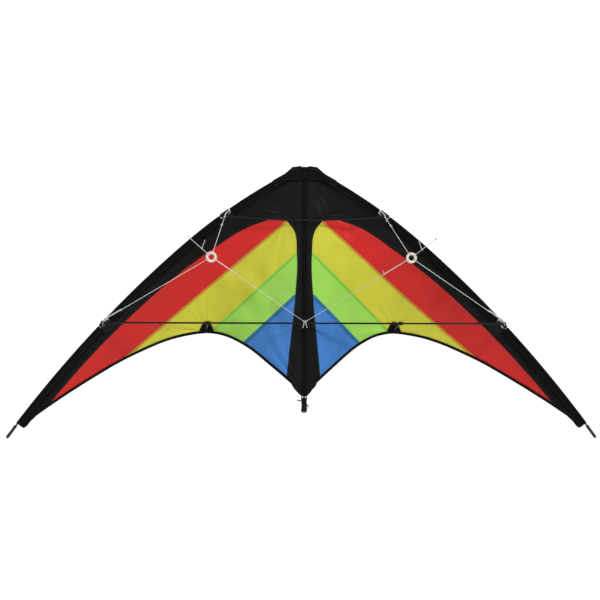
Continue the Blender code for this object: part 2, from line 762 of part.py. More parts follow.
def build_nose_patch(side, hinge):
    """Webbing folded over the nose end of the leading edge, open at the bottom."""
    half_depth = 0.0046
    inner = 0.0080
    outer = 0.0700
    shoulder = 0.0240
    taper_l = 0.0200
    margin_at_shoulder = 0.0115
    margin_at_end = 0.0065

    def surface(u, v):
        x = inner + (outer - inner) * u
        spar_z = leading_edge(solve(lambda t: leading_edge(t)[0], max(x, shoulder)))[1]
        taper = min(1.0, max(0.0, x - shoulder) / taper_l)
        margin = margin_at_shoulder + (margin_at_end - margin_at_shoulder) * taper
        top = min(NOSE_TOP, spar_z + margin)
        bottom = min(CLOTH_TOP + GAP, top - half_depth - GAP)
        y, z = folded_over(v, bottom, top, half_depth)
        return (side * x, SPAR_Y + y, z)
    patch = grid_piece(f"{side_name(side)}_nose_patch", surface, 8, 8, WEBBING)
    finish_piece(patch, BLACK_CLOTH, 0.75, hinge)


def build_standoff_patch(side, hinge):
    """Trapezoid of webbing sewn in front of the sail where the standoff bears."""
    bottom = -0.0215
    top = 0.0005
    low = line((STANDOFF_X - 0.0175, bottom), (STANDOFF_X + 0.0155, bottom))
    high = line((STANDOFF_X - 0.0085, top), (STANDOFF_X + 0.0060, top))
    flat = coons(low, high, line(low(0), high(0)), line(low(1), high(1)))

    def surface(u, v):
        x, z = flat(u, v)
        return on_sail(x, z, side, forward=PATCH_FORWARD)
    patch = grid_piece(f"{side_name(side)}_standoff_patch", surface, 6, 4, CLOTH)
    finish_piece(patch, BLACK_CLOTH, 0.75, hinge)


# ---- standoffs -------------------------------------------------------------------------
def standoff_foot():
    """Where the standoff's socket ends in front of its patch, for the right wing."""
    foot_z = -0.0140
    clear_of_patch = 0.0024
    foot_y = SPAR_Y + billow(STANDOFF_X, foot_z) - PATCH_FORWARD - clear_of_patch
    return Vector((STANDOFF_X, foot_y, foot_z))


def build_standoff(side, wing, hinge):
    label = side_name(side)
    foot = standoff_foot()
    pivot = Vector((STANDOFF_X, SPREADER_Y, LOWER_SPREADER_Z))
    way = (foot - pivot).normalized()
    socket_l = 0.0070
    socket_r = 0.0034
    end_wall = 0.0020
    bore_r = UPPER_ROD_R + 0.0003
    socket = cup_piece(f"{label}_standoff_socket", sideways(foot - way * socket_l, side),
                       way, socket_r, bore_r, socket_l, end_wall)
    finish_piece(socket, BLACK_MOULDED, 0.5, wing)
    rod_start = pivot + way * 0.0052
    rod_end = foot - way * (socket_l + GAP)
    rod = rod_piece(f"{label}_standoff_rod",
                    [sideways(rod_start, side), sideways(rod_end, side)], UPPER_ROD_R)
    finish_piece(rod, BLACK_GLASSFIBRE, 0.35, hinge)
    clip_l = 0.0090
    stem_l = 0.0090
    stem_r = 0.0030
    stem_centre = pivot + way * 0.0065
    stem_bore_centre = pivot + way * 0.0098
    clip = cylinder(f"{label}_standoff_clip", sideways(pivot, side), (1, 0, 0), ARM_R, clip_l, kite)
    stem = cylinder(f"{label}_standoff_stem", sideways(stem_centre, side), way, stem_r, stem_l)
    combine(clip, stem, "UNION")
    spreader_bore = cylinder(f"{label}_clip_bore", sideways(pivot, side), (1, 0, 0), BORE_R,
                             3 * clip_l)
    stem_bore = cylinder(f"{label}_stem_bore", sideways(stem_bore_centre, side), way, bore_r,
                         stem_l + 2 * GAP)
    for bore in (spreader_bore, stem_bore):
        combine(clip, bore, "DIFFERENCE")
    finish_piece(clip, BLACK_MOULDED, 0.5, hinge)


# ---- bridle --------------------------------------------------------------------------------
def toward(start, end, distance):
    """Point at a distance from start on the way to end."""
    start = Vector(start)
    return start + (Vector(end) - start).normalized() * distance


def build_bridle(side, wing, hinge):
    """Tow ring, its two outhaul legs, the inhaul to the T and the tow leader."""
    label = side_name(side)
    ring_centre = sideways(RING_CENTRE, side)
    bm = bmesh.new()
    around = 20
    section = 8
    upright = Matrix.Rotation(math.pi / 2, 4, "X")
    bmesh.ops.create_circle(bm, segments=section, radius=RING_MINOR,
                            matrix=Matrix.Translation((RING_MAJOR, 0, 0)) @ upright)
    bmesh.ops.spin(bm, geom=bm.verts[:] + bm.edges[:], cent=(0, 0, 0), axis=(0, 0, 1),
                   angle=2 * math.pi, steps=around, use_merge=True)
    bmesh.ops.remove_doubles(bm, verts=bm.verts, dist=0.00005)
    turn = Vector((0, 1, 0)).to_track_quat("Z", "X").to_matrix().to_4x4()
    bmesh.ops.transform(bm, matrix=Matrix.Translation(ring_centre) @ turn, verts=bm.verts)
    bmesh.ops.recalc_face_normals(bm, faces=bm.faces)
    ring = mesh_piece(f"{label}_bridle_ring", bm)
    finish_piece(ring, OFF_WHITE, 0.4, hinge)
    rim = RING_MAJOR + RING_MINOR + 0.0012
    legs = {"upper_bridle_leg": (UPPER_TIE, hinge), "lower_bridle_leg": (LOWER_TIE, hinge),
            "inhaul": (CENTRE_TIE, wing)}
    for name, (tie, carrier) in legs.items():
        first = toward(tie, RING_CENTRE, TIE_GAP)
        last = toward(RING_CENTRE, tie, rim)
        middle = (first + last) / 2
        leg = rod_piece(f"{label}_{name}", [sideways(p, side) for p in (first, middle, last)],
                        BRIDLE_R)
        finish_piece(leg, OFF_WHITE, 0.8, carrier)
    first = toward(RING_CENTRE, LEADER_END, rim)
    middle = (first + Vector(LEADER_END)) / 2
    leader = rod_piece(f"{label}_tow_leader",
                       [sideways(p, side) for p in (first, middle, LEADER_END)], LEADER_R)
    finish_piece(leader, OFF_WHITE, 0.8, hinge)


# ---- assembly --------------------------------------------------------------------------------
build_spine()
build_nose_pocket()
build_centre_t()
build_tail()
wings = {}
for wing_side in (-1, 1):
    wing_label = side_name(wing_side)
    wing_hinge = hinge_empty(f"{wing_label}_wing_hinge", (0, SPAR_Y, 0))
    standoff_hinge = hinge_empty(f"{wing_label}_standoff_hinge",
                                 (wing_side * STANDOFF_X, SPREADER_Y, LOWER_SPREADER_Z), wing_hinge)
    bridle_hinge = hinge_empty(f"{wing_label}_bridle_hinge", sideways(UPPER_TIE, wing_side), wing_hinge)
    wings[wing_side] = wing_hinge
    build_spars(wing_side, wing_hinge)
    build_tension_line(wing_side, wing_hinge)
    build_connectors(wing_side, wing_hinge)
    build_lower_spreader(wing_side, wing_hinge)
    build_leading_panel(wing_side, wing_hinge)
    build_panels(wing_side, wing_hinge)
    build_hem_tape(wing_side, wing_hinge)
    build_nose_patch(wing_side, wing_hinge)
    build_standoff_patch(wing_side, wing_hinge)
    build_standoff(wing_side, wing_hinge, standoff_hinge)
    build_bridle(wing_side, wing_hinge, bridle_hinge)
build_upper_spreader(wings[1])
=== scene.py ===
"""Looks of the dual-line delta kite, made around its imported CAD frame.

Everything is in metres in the frame's own axes: +X along the span, +Y behind the
sail, +Z from the tail to the nose.  The sail is one curved surface, y(x, z), and
every panel, seam, hem and patch is laid on that surface.  Pieces of one wing are
made by one function each, with side = -1 for the left and +1 for the right.
"""
import bisect
import json
import math

import bpy
import numpy as np
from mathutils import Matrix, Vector

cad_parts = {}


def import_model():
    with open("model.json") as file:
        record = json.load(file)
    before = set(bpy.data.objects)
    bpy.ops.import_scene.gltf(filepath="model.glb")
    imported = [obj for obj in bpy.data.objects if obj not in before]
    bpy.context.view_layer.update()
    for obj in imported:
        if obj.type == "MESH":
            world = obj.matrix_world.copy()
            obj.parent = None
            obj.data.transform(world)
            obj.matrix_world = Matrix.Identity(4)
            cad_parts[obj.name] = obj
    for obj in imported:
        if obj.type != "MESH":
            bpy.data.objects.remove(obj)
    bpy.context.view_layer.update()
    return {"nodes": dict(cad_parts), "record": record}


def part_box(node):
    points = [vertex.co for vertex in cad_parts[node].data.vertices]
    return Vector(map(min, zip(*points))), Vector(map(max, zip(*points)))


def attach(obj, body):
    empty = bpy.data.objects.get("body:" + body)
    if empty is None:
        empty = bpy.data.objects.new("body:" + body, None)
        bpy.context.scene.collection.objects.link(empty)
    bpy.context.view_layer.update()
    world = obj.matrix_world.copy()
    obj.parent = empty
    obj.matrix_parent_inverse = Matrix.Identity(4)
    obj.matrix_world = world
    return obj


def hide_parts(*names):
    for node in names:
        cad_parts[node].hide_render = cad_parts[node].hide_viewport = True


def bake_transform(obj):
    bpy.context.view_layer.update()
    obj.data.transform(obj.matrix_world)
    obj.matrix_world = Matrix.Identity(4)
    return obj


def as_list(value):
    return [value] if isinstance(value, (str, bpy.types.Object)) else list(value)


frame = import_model()

# ---- driving dimensions, the same as the frame's -------------------------------------
SPAR_Y = 0.014
SPREADER_Y = 0.005
CORD_Y = -0.0015
ROD_R = 0.0020
UPPER_ROD_R = 0.0016
UPPER_SPREADER_Z = 0.2260
UPPER_SPREADER_RISE = 0.0085
SLEEVE_R = 0.0034
BARREL_R = 0.0048
TAPE_W = 0.0060
NOSE_TOP = 0.3450
NOSE_MOUTH = 0.3190
CLOTH_TOP = 0.3165
CENTRE_EDGE = 0.0056
NOSE_SHOULDER = (0.022, 0.335)
ROD_TIP = (0.648, -0.250)
LEADING_EDGE = (NOSE_SHOULDER, (0.176, 0.240), (0.342, 0.099), (0.440, 0.000), ROD_TIP)
SAIL_TAIL = (0.000, -0.159)
SAIL_STANDOFF = (0.212, -0.024)
SAIL_TIP = (0.600, -0.214)
INNER_TRAILING = (SAIL_TAIL, (0.066, -0.100), (0.133, -0.048), (0.172, -0.030), SAIL_STANDOFF)
OUTER_TRAILING = (SAIL_STANDOFF, (0.270, -0.033), (0.378, -0.075), (0.478, -0.132), SAIL_TIP)
BAND_CORNER = (0.038, 0.225)
LEADING_BAND = (BAND_CORNER, (0.060, 0.230), (0.106, 0.219), (0.214, 0.155), (0.394, 0.003),
                (0.563, -0.184))
CENTRE_STRIP = (BAND_CORNER, (0.0225, 0.204), (0.0155, 0.150), (0.0185, 0.060),
                (0.0265, -0.024), (0.0365, -0.122))
SEAM_ENDS_X = {"red": 0.3975, "yellow": 0.2015, "green": 0.1296}
YELLOW_TOP_Z = 0.154
GREEN_TOP_Z = 0.0605
STANDOFF_X = SAIL_STANDOFF[0]
BILLOW = 0.132
RIDGE_ROUNDING = 0.10
UPPER_CONNECTOR_Z = 0.2400
SLEEVE_START_T = 0.004
SLEEVE_CUT_T = 0.0165
SLEEVE_END_T = 0.958
TIP_CAP_R = 0.0030
TIP_CAP_DEPTH = 0.0300
TIP_CAP_NOSE = 0.0030

# the cords' routes, each from its tie point to its ring
RING_CENTRE = (0.212, -0.186, 0.141)
RING_MAJOR = 0.0088
RING_MINOR = 0.0030
RING_TUBE_R = 0.0026      # the moulding itself, a little slimmer than the space kept for it
BRIDLE_R = 0.0007
INHAUL_R = 0.00055
LEADER_R = 0.0006
TIE_LINE_R = 0.00055      # the thin doubled line that binds a leg to its spar
UPPER_TIE = (0.1765, CORD_Y, 0.2330)
LOWER_TIE = (0.4390, CORD_Y, 0.0060)
CENTRE_TIE = (0.0022, CORD_Y, 0.0040)
LEADER_END = (0.262, -0.222, 0.183)

# ---- sizes of the fine pieces --------------------------------------------------------
CLOTH_T = 0.00025         # one layer of ripstop
TAPE_T = 0.00040
WEBBING_T = 0.00110
FLAP_W = 0.0195           # the leading-edge sleeve's flap on the sail
LAYER = 0.00045           # distance from one sewn layer to the next
HEM_LIFT = 0.0011         # the hem tape lies clear of the seams' ends
PATCH_LIFT = 0.0020       # and the standoff's patch clear of the hem
STITCH_PITCH = 0.0034
STITCH_W = 0.00055
STITCH_H = 0.00028
BINDING_W = 0.0060        # the binding sewn over the two curved seams
HEM_UNDERLAP = 0.0020     # the panels end this far inside the trailing edge
PICTURE_M = 1.316         # width of the view at the kite
FRONT_LIGHT = 0.25        # strength of the surrounding light in front of the kite
CAMERA_DISTANCE = 5.0
CAMERA_AZIMUTH = math.radians(-4.2)
CAMERA_ROLL = math.radians(0.21)
VIEW_CENTRE = (-0.0108, 0.0, 0.0510)
FRONT = np.array([0.0, -1.0, 0.0])


# ---- curves and the sail's surface ---------------------------------------------------
def curve_through(places):
    """Smooth curve through the places, as a function of t from 0 to 1 by length."""
    knots = [0.0]
    for a, b in zip(places, places[1:]):
        knots.append(knots[-1] + math.dist(a, b))
    steps = [b - a for a, b in zip(knots, knots[1:])]
    slopes = []
    for axis in (0, 1):
        runs = [(b[axis] - a[axis]) / step for a, b, step in zip(places, places[1:], steps)]
        inner = [(r0 * s1 + r1 * s0) / (s0 + s1)
                 for r0, r1, s0, s1 in zip(runs, runs[1:], steps, steps[1:])]
        slopes.append([2 * runs[0] - inner[0]] + inner + [2 * runs[-1] - inner[-1]])

    def point(t):
        along = t * knots[-1]
        span = min(len(steps) - 1, max(0, bisect.bisect_right(knots, along) - 1))
        step = steps[span]
        s = (along - knots[span]) / step
        rise = s * s * (3 - 2 * s)
        result = []
        for axis in (0, 1):
            start = places[span][axis]
            end = places[span + 1][axis]
            leave = slopes[axis][span] * step * s * (1 - s) ** 2
            arrive = slopes[axis][span + 1] * step * s * s * (s - 1)
            result.append(start + (end - start) * rise + leave + arrive)
        return tuple(result)
    return point


def solve(function, target, low=0.0, high=1.0):
    """Parameter at which a rising function reaches the target, by halving."""
    for _ in range(40):
        middle = (low + high) / 2
        if function(middle) < target:
            low = middle
        else:
            high = middle
    return (low + high) / 2


leading_edge = curve_through(LEADING_EDGE)
inner_trailing = curve_through(INNER_TRAILING)
outer_trailing = curve_through(OUTER_TRAILING)
band_edge = curve_through(LEADING_BAND)
strip_edge = curve_through(CENTRE_STRIP)


def trailing_edge(t):
    """Trailing edge from the tail (t = 0) by the standoff (1) to the tip (2)."""
    if t <= 1.0:
        return inner_trailing(t)
    return outer_trailing(t - 1.0)


UPPER_T = solve(lambda t: -leading_edge(t)[1], -UPPER_CONNECTOR_Z)
LOWER_T = solve(lambda t: -leading_edge(t)[1], 0.0)


def unit(v):
    v = np.asarray(v, float)
    return v / np.linalg.norm(v)


def edge_direction(edge, t, last=1.0):
    """Unit (x, z) direction of an edge at t."""
    ahead = np.array(edge(min(t + 0.008, last)))
    behind = np.array(edge(max(t - 0.008, 0.0)))
    return unit(ahead - behind)


def beside(edge, t, distance, last=1.0):
    """Point a distance to the left of an edge's direction."""
    direction = edge_direction(edge, t, last)
    x, z = edge(t)
    return (x - direction[1] * distance, z + direction[0] * distance)


TABLE = 1200
edge_samples = np.array([leading_edge(i / TABLE) for i in range(TABLE + 1)])
trail_samples = np.array([trailing_edge(2 * i / TABLE) for i in range(TABLE + 1)])
trail_slopes = np.gradient(trail_samples[:, 1]) / np.gradient(trail_samples[:, 0])
EDGE_LENGTH = float(np.linalg.norm(np.diff(edge_samples, axis=0), axis=1).sum())


def smooth(value):
    value = np.clip(value, 0.0, 1.0)
    return value * value * (3 - 2 * value)


FOLD_FANS = (              # anchor x and z, number of folds per turn, reach, height
    ((0.038, 0.240), 19, 0.190, 0.00310),
    ((STANDOFF_X, -0.020), 17, 0.150, 0.00380),
    ((0.000, -0.159), 27, 0.160, 0.00340),
    ((0.000, 0.335), 31, 0.190, 0.00280),
    ((0.439, 0.006), 15, 0.170, 0.00200),
    ((0.600, -0.214), 37, 0.260, 0.00180),
)


def ripples(x, z, side):
    """Height of the soft tension folds in the cloth, in metres."""
    phase = 0.9 if side > 0 else 2.3
    soft = 0.55 * np.sin(61 * x + 34 * z + phase)
    soft = soft + 0.45 * np.sin(-38 * x + 72 * z + 1.7 * phase)
    soft = soft + 0.30 * np.sin(118 * x - 51 * z + 0.6 * phase)
    patchy = 0.5 + 0.5 * np.sin(19 * x * side + 23 * z + phase)
    height = 0.00340 * soft * patchy
    for index, ((fan_x, fan_z), count, reach, rise) in enumerate(FOLD_FANS):
        far = np.hypot(x - fan_x, z - fan_z)
        turn = np.arctan2(z - fan_z, x - fan_x)
        wander = 0.35 * np.sin(34 * far + phase + index)
        crease = np.sin(0.5 * count * turn + wander + phase * (index + 1)) ** 2 - 0.5
        some = 0.55 + 0.45 * np.sin(5 * turn + 3 * phase + index)
        height = height + rise * crease * some * smooth(far / 0.05) * np.exp(-(far / reach) ** 2)
    return height


def sail_y(x, z, side):
    """Depth of the cloth at (x, z), both measured on one wing with x from the spine out."""
    x = np.asarray(x, float)
    z = np.asarray(z, float)
    inboard = x / STANDOFF_X
    reach = np.maximum(0.0, (SAIL_TIP[0] - x) / (SAIL_TIP[0] - STANDOFF_X))
    outboard = reach * (1.3 - 0.3 * reach)
    half_gap = (inboard - outboard) / 2
    edge = BILLOW * np.maximum(0.0, (inboard + outboard) / 2 - np.hypot(half_gap, RIDGE_ROUNDING))
    top = np.interp(x, edge_samples[:, 0], edge_samples[:, 1])
    bottom = np.interp(x, trail_samples[:, 0], trail_samples[:, 1])
    down = np.clip((top - z) / np.maximum(top - bottom, 1e-6), 0.0, 1.0)
    calm = smooth(down / 0.25) * smooth(x / 0.03) * smooth((SAIL_TIP[0] - x) / 0.12)
    return SPAR_Y + edge * down * (1.4 - 0.4 * down) + calm * ripples(x, z, side)


def lay(places, side, lift=0.0):
    """World points at (x, z) places on the sail, lifted along its normal towards the front."""
    x, z = np.moveaxis(np.asarray(places, float), -1, 0)
    step = 0.0015
    y = sail_y(x, z, side)
    slope_x = (sail_y(x + step, z, side) - sail_y(x - step, z, side)) / (2 * step)
    slope_z = (sail_y(x, z + step, side) - sail_y(x, z - step, side)) / (2 * step)
    normal = np.stack([side * slope_x, -np.ones_like(x), slope_z], axis=-1)
    normal /= np.linalg.norm(normal, axis=-1, keepdims=True)
    return np.stack([side * x, y, z], axis=-1) + normal * np.asarray(lift)[..., None]


def hem_z(x, margin):
    """Height a margin above the trailing edge at x."""
    slope = np.interp(x, trail_samples[:, 0], trail_slopes)
    return float(np.interp(x, trail_samples[:, 0], trail_samples[:, 1]) + margin * math.hypot(1.0, slope))


def line(a, b):
    return lambda t: (a[0] + (b[0] - a[0]) * t, a[1] + (b[1] - a[1]) * t)


def part_of(edge, first, last):
    return lambda t: edge(first + (last - first) * t)


def surface_grid(edges, columns, rows, fade=3):
    """Grid of (x, z) between four edges: low and high run outwards, start and end upwards."""
    u = np.linspace(0, 1, columns + 1)
    v = np.linspace(0, 1, rows + 1)
    low, high = (np.array([edge(t) for t in u])[:, None] for edge in edges[:2])
    start, end = (np.array([edge(t) for t in v])[None] for edge in edges[2:])
    u = u[:, None, None]
    v = v[None, :, None]
    ruled = (1 - v) * low + v * high
    at_start = start - (1 - v) * low[:1] - v * high[:1]
    at_end = end - (1 - v) * low[-1:] - v * high[-1:]
    return ruled + at_start * (1 - u) ** fade + at_end * u ** fade


# ---- meshes --------------------------------------------------------------------------
def lengths_along(path):
    """Distance of each point of a path from its start."""
    return np.concatenate([[0], np.cumsum(np.linalg.norm(np.diff(path, axis=0), axis=1))])


def circle(centre, first, second, radius, turn):
    """Point of the circle that two directions span, a turn away from the first."""
    return centre + radius * (first * math.cos(turn) + second * math.sin(turn))


def cross_helper(axis):
    """A fixed direction well away from an axis."""
    return np.array([0.0, 0.0, 1.0]) if abs(axis[2]) < 0.9 else np.array([1.0, 0.0, 0.0])


def loop_faces(rows, around, wrap=False):
    """Faces between neighbouring loops of points; wrap joins the last loop to the first."""
    faces = []
    for i in range(rows if wrap else rows - 1):
        for j in range(around):
            here, there = i * around, (i + 1) % rows * around
            k = (j + 1) % around
            faces.append((here + j, here + k, there + k, there + j))
    return faces


def loop_uvs(along, girth):
    """(u, v) at each corner of those faces, from the distances along and round the loops."""
    return [corner for u0, u1 in zip(along, along[1:]) for v0, v1 in zip(girth, girth[1:])
            for corner in ((u0, v0), (u0, v1), (u1, v1), (u1, v0))]


def flat_uvs(points, faces, axes=(0, 2)):
    """(u, v) at each corner of the faces, straight from two of its coordinates."""
    return [tuple(points[index][axis] for axis in axes) for face in faces for index in face]


def make_mesh(name, points, faces, corner_uvs, sharp=50):
    """Object from points, faces and one (u, v) per face corner, in metres."""
    mesh = bpy.data.meshes.new(name)
    mesh.from_pydata([tuple(p) for p in points], [], faces)
    layer = mesh.uv_layers.new(name="UVMap")
    layer.data.foreach_set("uv", np.asarray(corner_uvs, np.float32).ravel())
    mesh.shade_smooth()
    mesh.set_sharp_from_angle(angle=math.radians(sharp))
    obj = bpy.data.objects.new(name, mesh)
    bpy.context.scene.collection.objects.link(obj)
    return obj


def sheet_mesh(name, middle, thickness, uv=None, sharp=50):
    """Closed thin sheet round a grid of points; its first row and column run freely."""
    middle = np.asarray(middle, float)
    rows, columns = middle.shape[:2]
    normal = np.cross(np.gradient(middle, axis=0), np.gradient(middle, axis=1))
    normal /= np.maximum(np.linalg.norm(normal, axis=-1, keepdims=True), 1e-12)
    points = np.concatenate([(middle + normal * thickness / 2).reshape(-1, 3),
                             (middle - normal * thickness / 2).reshape(-1, 3)])
    if uv is None:
        lengths = lengths_along(middle[:, columns // 2]), lengths_along(middle[rows // 2])
        uv = np.stack(np.meshgrid(*lengths, indexing="ij"), axis=-1)
    flat_uv = uv.reshape(-1, 2)
    count = rows * columns
    faces = []
    for i in range(rows - 1):
        for j in range(columns - 1):
            a = i * columns + j
            b, c, d = a + columns, a + columns + 1, a + 1
            faces.append((a, b, c, d))
            faces.append((d + count, c + count, b + count, a + count))
    rim = [(i, 0) for i in range(rows)] + [(rows - 1, j) for j in range(1, columns)]
    rim += [(i, columns - 1) for i in range(rows - 2, -1, -1)] + [(0, j) for j in range(columns - 2, 0, -1)]
    ring = [i * columns + j for i, j in rim]
    for a, b in zip(ring, ring[1:] + ring[:1]):
        faces.append((b, a, a + count, b + count))
    corner_uvs = [flat_uv[index % count] for face in faces for index in face]
    return make_mesh(name, points, faces, corner_uvs, sharp)


def transport(path):
    """Tangents and one steady pair of cross directions along a path."""
    path = np.asarray(path, float)
    tangents = np.gradient(path, axis=0)
    tangents /= np.linalg.norm(tangents, axis=1, keepdims=True)
    side_way = unit(np.cross(tangents[0], cross_helper(tangents[0])))
    sides = [side_way]
    for tangent in tangents[1:]:
        side_way = unit(side_way - tangent * np.dot(side_way, tangent))
        sides.append(side_way)
    sides = np.array(sides)
    return tangents, sides, np.cross(tangents, sides)


def tube(name, path, radius, around=10, round_ends=True):
    """Round tube along a path, with rounded ends, and (u, v) = (length, way round)."""
    path = np.asarray(path, float)
    tangents, first, second = transport(path)
    radii = np.full(len(path), radius)
    if round_ends:
        lead = path[0] - tangents[0] * radius * 0.45
        tail = path[-1] + tangents[-1] * radius * 0.45
        path = np.concatenate([[lead], path, [tail]])
        first = np.concatenate([first[:1], first, first[-1:]])
        second = np.concatenate([second[:1], second, second[-1:]])
        radii = np.concatenate([[radius * 0.62], radii, [radius * 0.62]])
    turns = np.linspace(0, 2 * math.pi, around, endpoint=False)
    rings = path[:, None] + radii[:, None, None] * (
        np.cos(turns)[None, :, None] * first[:, None] + np.sin(turns)[None, :, None] * second[:, None])
    faces = loop_faces(len(path), around)
    corner_uvs = loop_uvs(lengths_along(path), [2 * math.pi * radius * j / around for j in range(around + 1)])
    last = (len(path) - 1) * around
    faces.append(tuple(range(around - 1, -1, -1)))
    faces.append(tuple(last + j for j in range(around)))
    corner_uvs += [(0.0, 0.0)] * (2 * around)
    return make_mesh(name, rings.reshape(-1, 3), faces, corner_uvs, sharp=60)


def stitch_row(name, path, normals, pitch=STITCH_PITCH, slant=0.0):
    """Row of short thread stitches on a path; slant leans each one for a zigzag."""
    path = np.asarray(path, float)
    lengths = lengths_along(path)
    count = max(1, int(lengths[-1] / pitch))
    pitch = lengths[-1] / count

    def at(distance, table):
        return np.array([np.interp(distance, lengths, table[:, axis]) for axis in range(3)])
    points = []
    faces = []
    for index in range(count):
        start = (index + 0.14) * pitch
        end = (index + 0.86) * pitch
        ends = [at(s, path) for s in (start, (start + end) / 2, end)]
        normal = unit(at((start + end) / 2, normals))
        along = unit(ends[2] - ends[0])
        across = np.cross(normal, along)
        lean = slant * (1 if index % 2 else -1)
        base = len(points)
        for place, rise, share in zip(ends, (0.0, 1.0, 0.0), (-1, 0, 1)):
            middle = place + normal * STITCH_H * (0.35 + 0.65 * rise) + across * lean * share
            thick = 0.75 + 0.25 * rise
            points += [middle + across * STITCH_W / 2 * thick, middle + normal * STITCH_H / 2 * thick,
                       middle - across * STITCH_W / 2 * thick, middle - normal * STITCH_H / 2 * thick]
        for face in loop_faces(3, 4) + [(3, 2, 1, 0), (8, 9, 10, 11)]:
            faces.append(tuple(base + corner for corner in face))
    return make_mesh(name, points, faces, flat_uvs(points, faces), sharp=80)


# ---- materials -----------------------------------------------------------------------
class Paint:
    """Short-hand for building one Principled material from nodes."""

    def __init__(self, name, colour, roughness, specular=0.5):
        self.material = bpy.data.materials.new(name)
        self.material.use_nodes = True
        self.tree = self.material.node_tree
        self.shader = self.tree.nodes["Principled BSDF"]
        self.put("Base Color", (*colour, 1.0))
        self.put("Roughness", roughness)
        self.put("Specular IOR Level", specular)

    def node(self, kind, **values):
        made = self.tree.nodes.new(kind)
        for key, value in values.items():
            setattr(made, key, value)
        return made

    def put(self, socket, value):
        self.shader.inputs[socket].default_value = value

    def link(self, source, target):
        self.tree.links.new(source, target)

    def math(self, operation, a, b=None):
        made = self.node("ShaderNodeMath", operation=operation)
        for socket, value in zip(made.inputs, (a, b)):
            if value is None:
                continue
            if isinstance(value, (int, float)):
                socket.default_value = value
            else:
                self.link(value, socket)
        return made.outputs[0]

    def uv(self):
        """The two surface coordinates, in metres."""
        place = self.node("ShaderNodeTexCoord")
        split = self.node("ShaderNodeSeparateXYZ")
        self.link(place.outputs["UV"], split.inputs[0])
        return split.outputs[0], split.outputs[1]

    def noise(self, scale, detail=3.0, stretch=(1, 1, 1)):
        place = self.node("ShaderNodeTexCoord")
        mapping = self.node("ShaderNodeMapping")
        mapping.inputs["Scale"].default_value = stretch
        texture = self.node("ShaderNodeTexNoise")
        texture.inputs["Scale"].default_value = scale
        texture.inputs["Detail"].default_value = detail
        self.link(place.outputs["Object"], mapping.inputs["Vector"])
        self.link(mapping.outputs[0], texture.inputs["Vector"])
        return texture.outputs["Fac"]

    def wave(self, coordinate, period):
        """0 to 1 wave along a coordinate."""
        turned = self.math("SINE", self.math("MULTIPLY", coordinate, 2 * math.pi / period))
        return self.math("ADD", self.math("MULTIPLY", turned, 0.5), 0.5)

    def lines(self, coordinate, period, share):
        """1 on thin lines a period apart, 0 between them."""
        place = self.math("FRACT", self.math("DIVIDE", coordinate, period))
        return self.math("LESS_THAN", place, share)

    def mix_colour(self, factor, first, second):
        mix = self.node("ShaderNodeMix", data_type="RGBA")
        self.link(factor, mix.inputs["Factor"])
        for socket, value in (("A", first), ("B", second)):
            target = [s for s in mix.inputs if s.name == socket and s.type == "RGBA"][0]
            if isinstance(value, tuple):
                target.default_value = (*value, 1.0)
            else:
                self.link(value, target)
        return [s for s in mix.outputs if s.type == "RGBA"][0]

    def vary_roughness(self, factor, low, high):
        spread = self.node("ShaderNodeMapRange")
        spread.inputs["To Min"].default_value = low
        spread.inputs["To Max"].default_value = high
        self.link(factor, spread.inputs["Value"])
        self.link(spread.outputs[0], self.shader.inputs["Roughness"])

    def bump(self, height, distance, strength=1.0):
        made = self.node("ShaderNodeBump")
        made.inputs["Distance"].default_value = distance
        made.inputs["Strength"].default_value = strength
        self.link(height, made.inputs["Height"])
        self.link(made.outputs[0], self.shader.inputs["Normal"])

    def base(self, colour_output):
        self.link(colour_output, self.shader.inputs["Base Color"])


def scaled(colour, factor):
    return tuple(min(1.0, c * factor) for c in colour)


def ripstop(name, colour, spread=0.13, specular=0.25, sheen=0.03):
    """Light plain-weave cloth with a raised thread every 5 mm each way."""
    paint = Paint(name, colour, 0.52, specular=specular)
    u, v = paint.uv()
    grid = paint.math("MAXIMUM", paint.lines(u, 0.0050, 0.11), paint.lines(v, 0.0050, 0.11))
    weave = paint.math("MULTIPLY", paint.wave(u, 0.00055), paint.wave(v, 0.00055))
    cloud = paint.noise(13.0, detail=4.0)
    tone = paint.mix_colour(cloud, scaled(colour, 1 - spread), scaled(colour, 1 + spread))
    shade = paint.math("MULTIPLY", grid, 0.22)
    paint.base(paint.mix_colour(shade, tone, scaled(colour, 0.55)))
    paint.vary_roughness(paint.noise(26.0), 0.44, 0.62)
    height = paint.math("ADD", paint.math("MULTIPLY", weave, 0.35), grid)
    crumple = paint.math("MULTIPLY", paint.noise(55.0, detail=2.0), 2.2)
    paint.bump(paint.math("ADD", height, crumple), 0.00012, 0.7)
    paint.put("Sheen Weight", sheen)
    paint.put("Sheen Roughness", 0.4)
    return paint.material


def webbing(name, colour, rib=0.0011, lift=0.0003):
    """Heavy woven tape: ribs along its length, crossed by fine picks, with a painted highlight on their tops.
    """
    paint = Paint(name, colour, 0.62, specular=0.06)
    u, v = paint.uv()
    ribs = paint.math("POWER", paint.wave(v, rib), 0.6)
    picks = paint.wave(paint.math("ADD", u, paint.math("MULTIPLY", v, 0.5)), rib * 0.7)
    weave = paint.math("ADD", ribs, paint.math("MULTIPLY", picks, 0.6))
    tone = paint.mix_colour(paint.noise(14.0), scaled(colour, 0.75), scaled(colour, 1.35))
    # painted highlight: the colour is lighter where the weave stands highest
    paint.base(paint.mix_colour(paint.math("MULTIPLY", weave, 0.30), tone, scaled(colour, 1.9)))
    paint.vary_roughness(paint.noise(40.0), 0.60, 0.82)
    paint.bump(weave, lift, 0.6)
    return paint.material


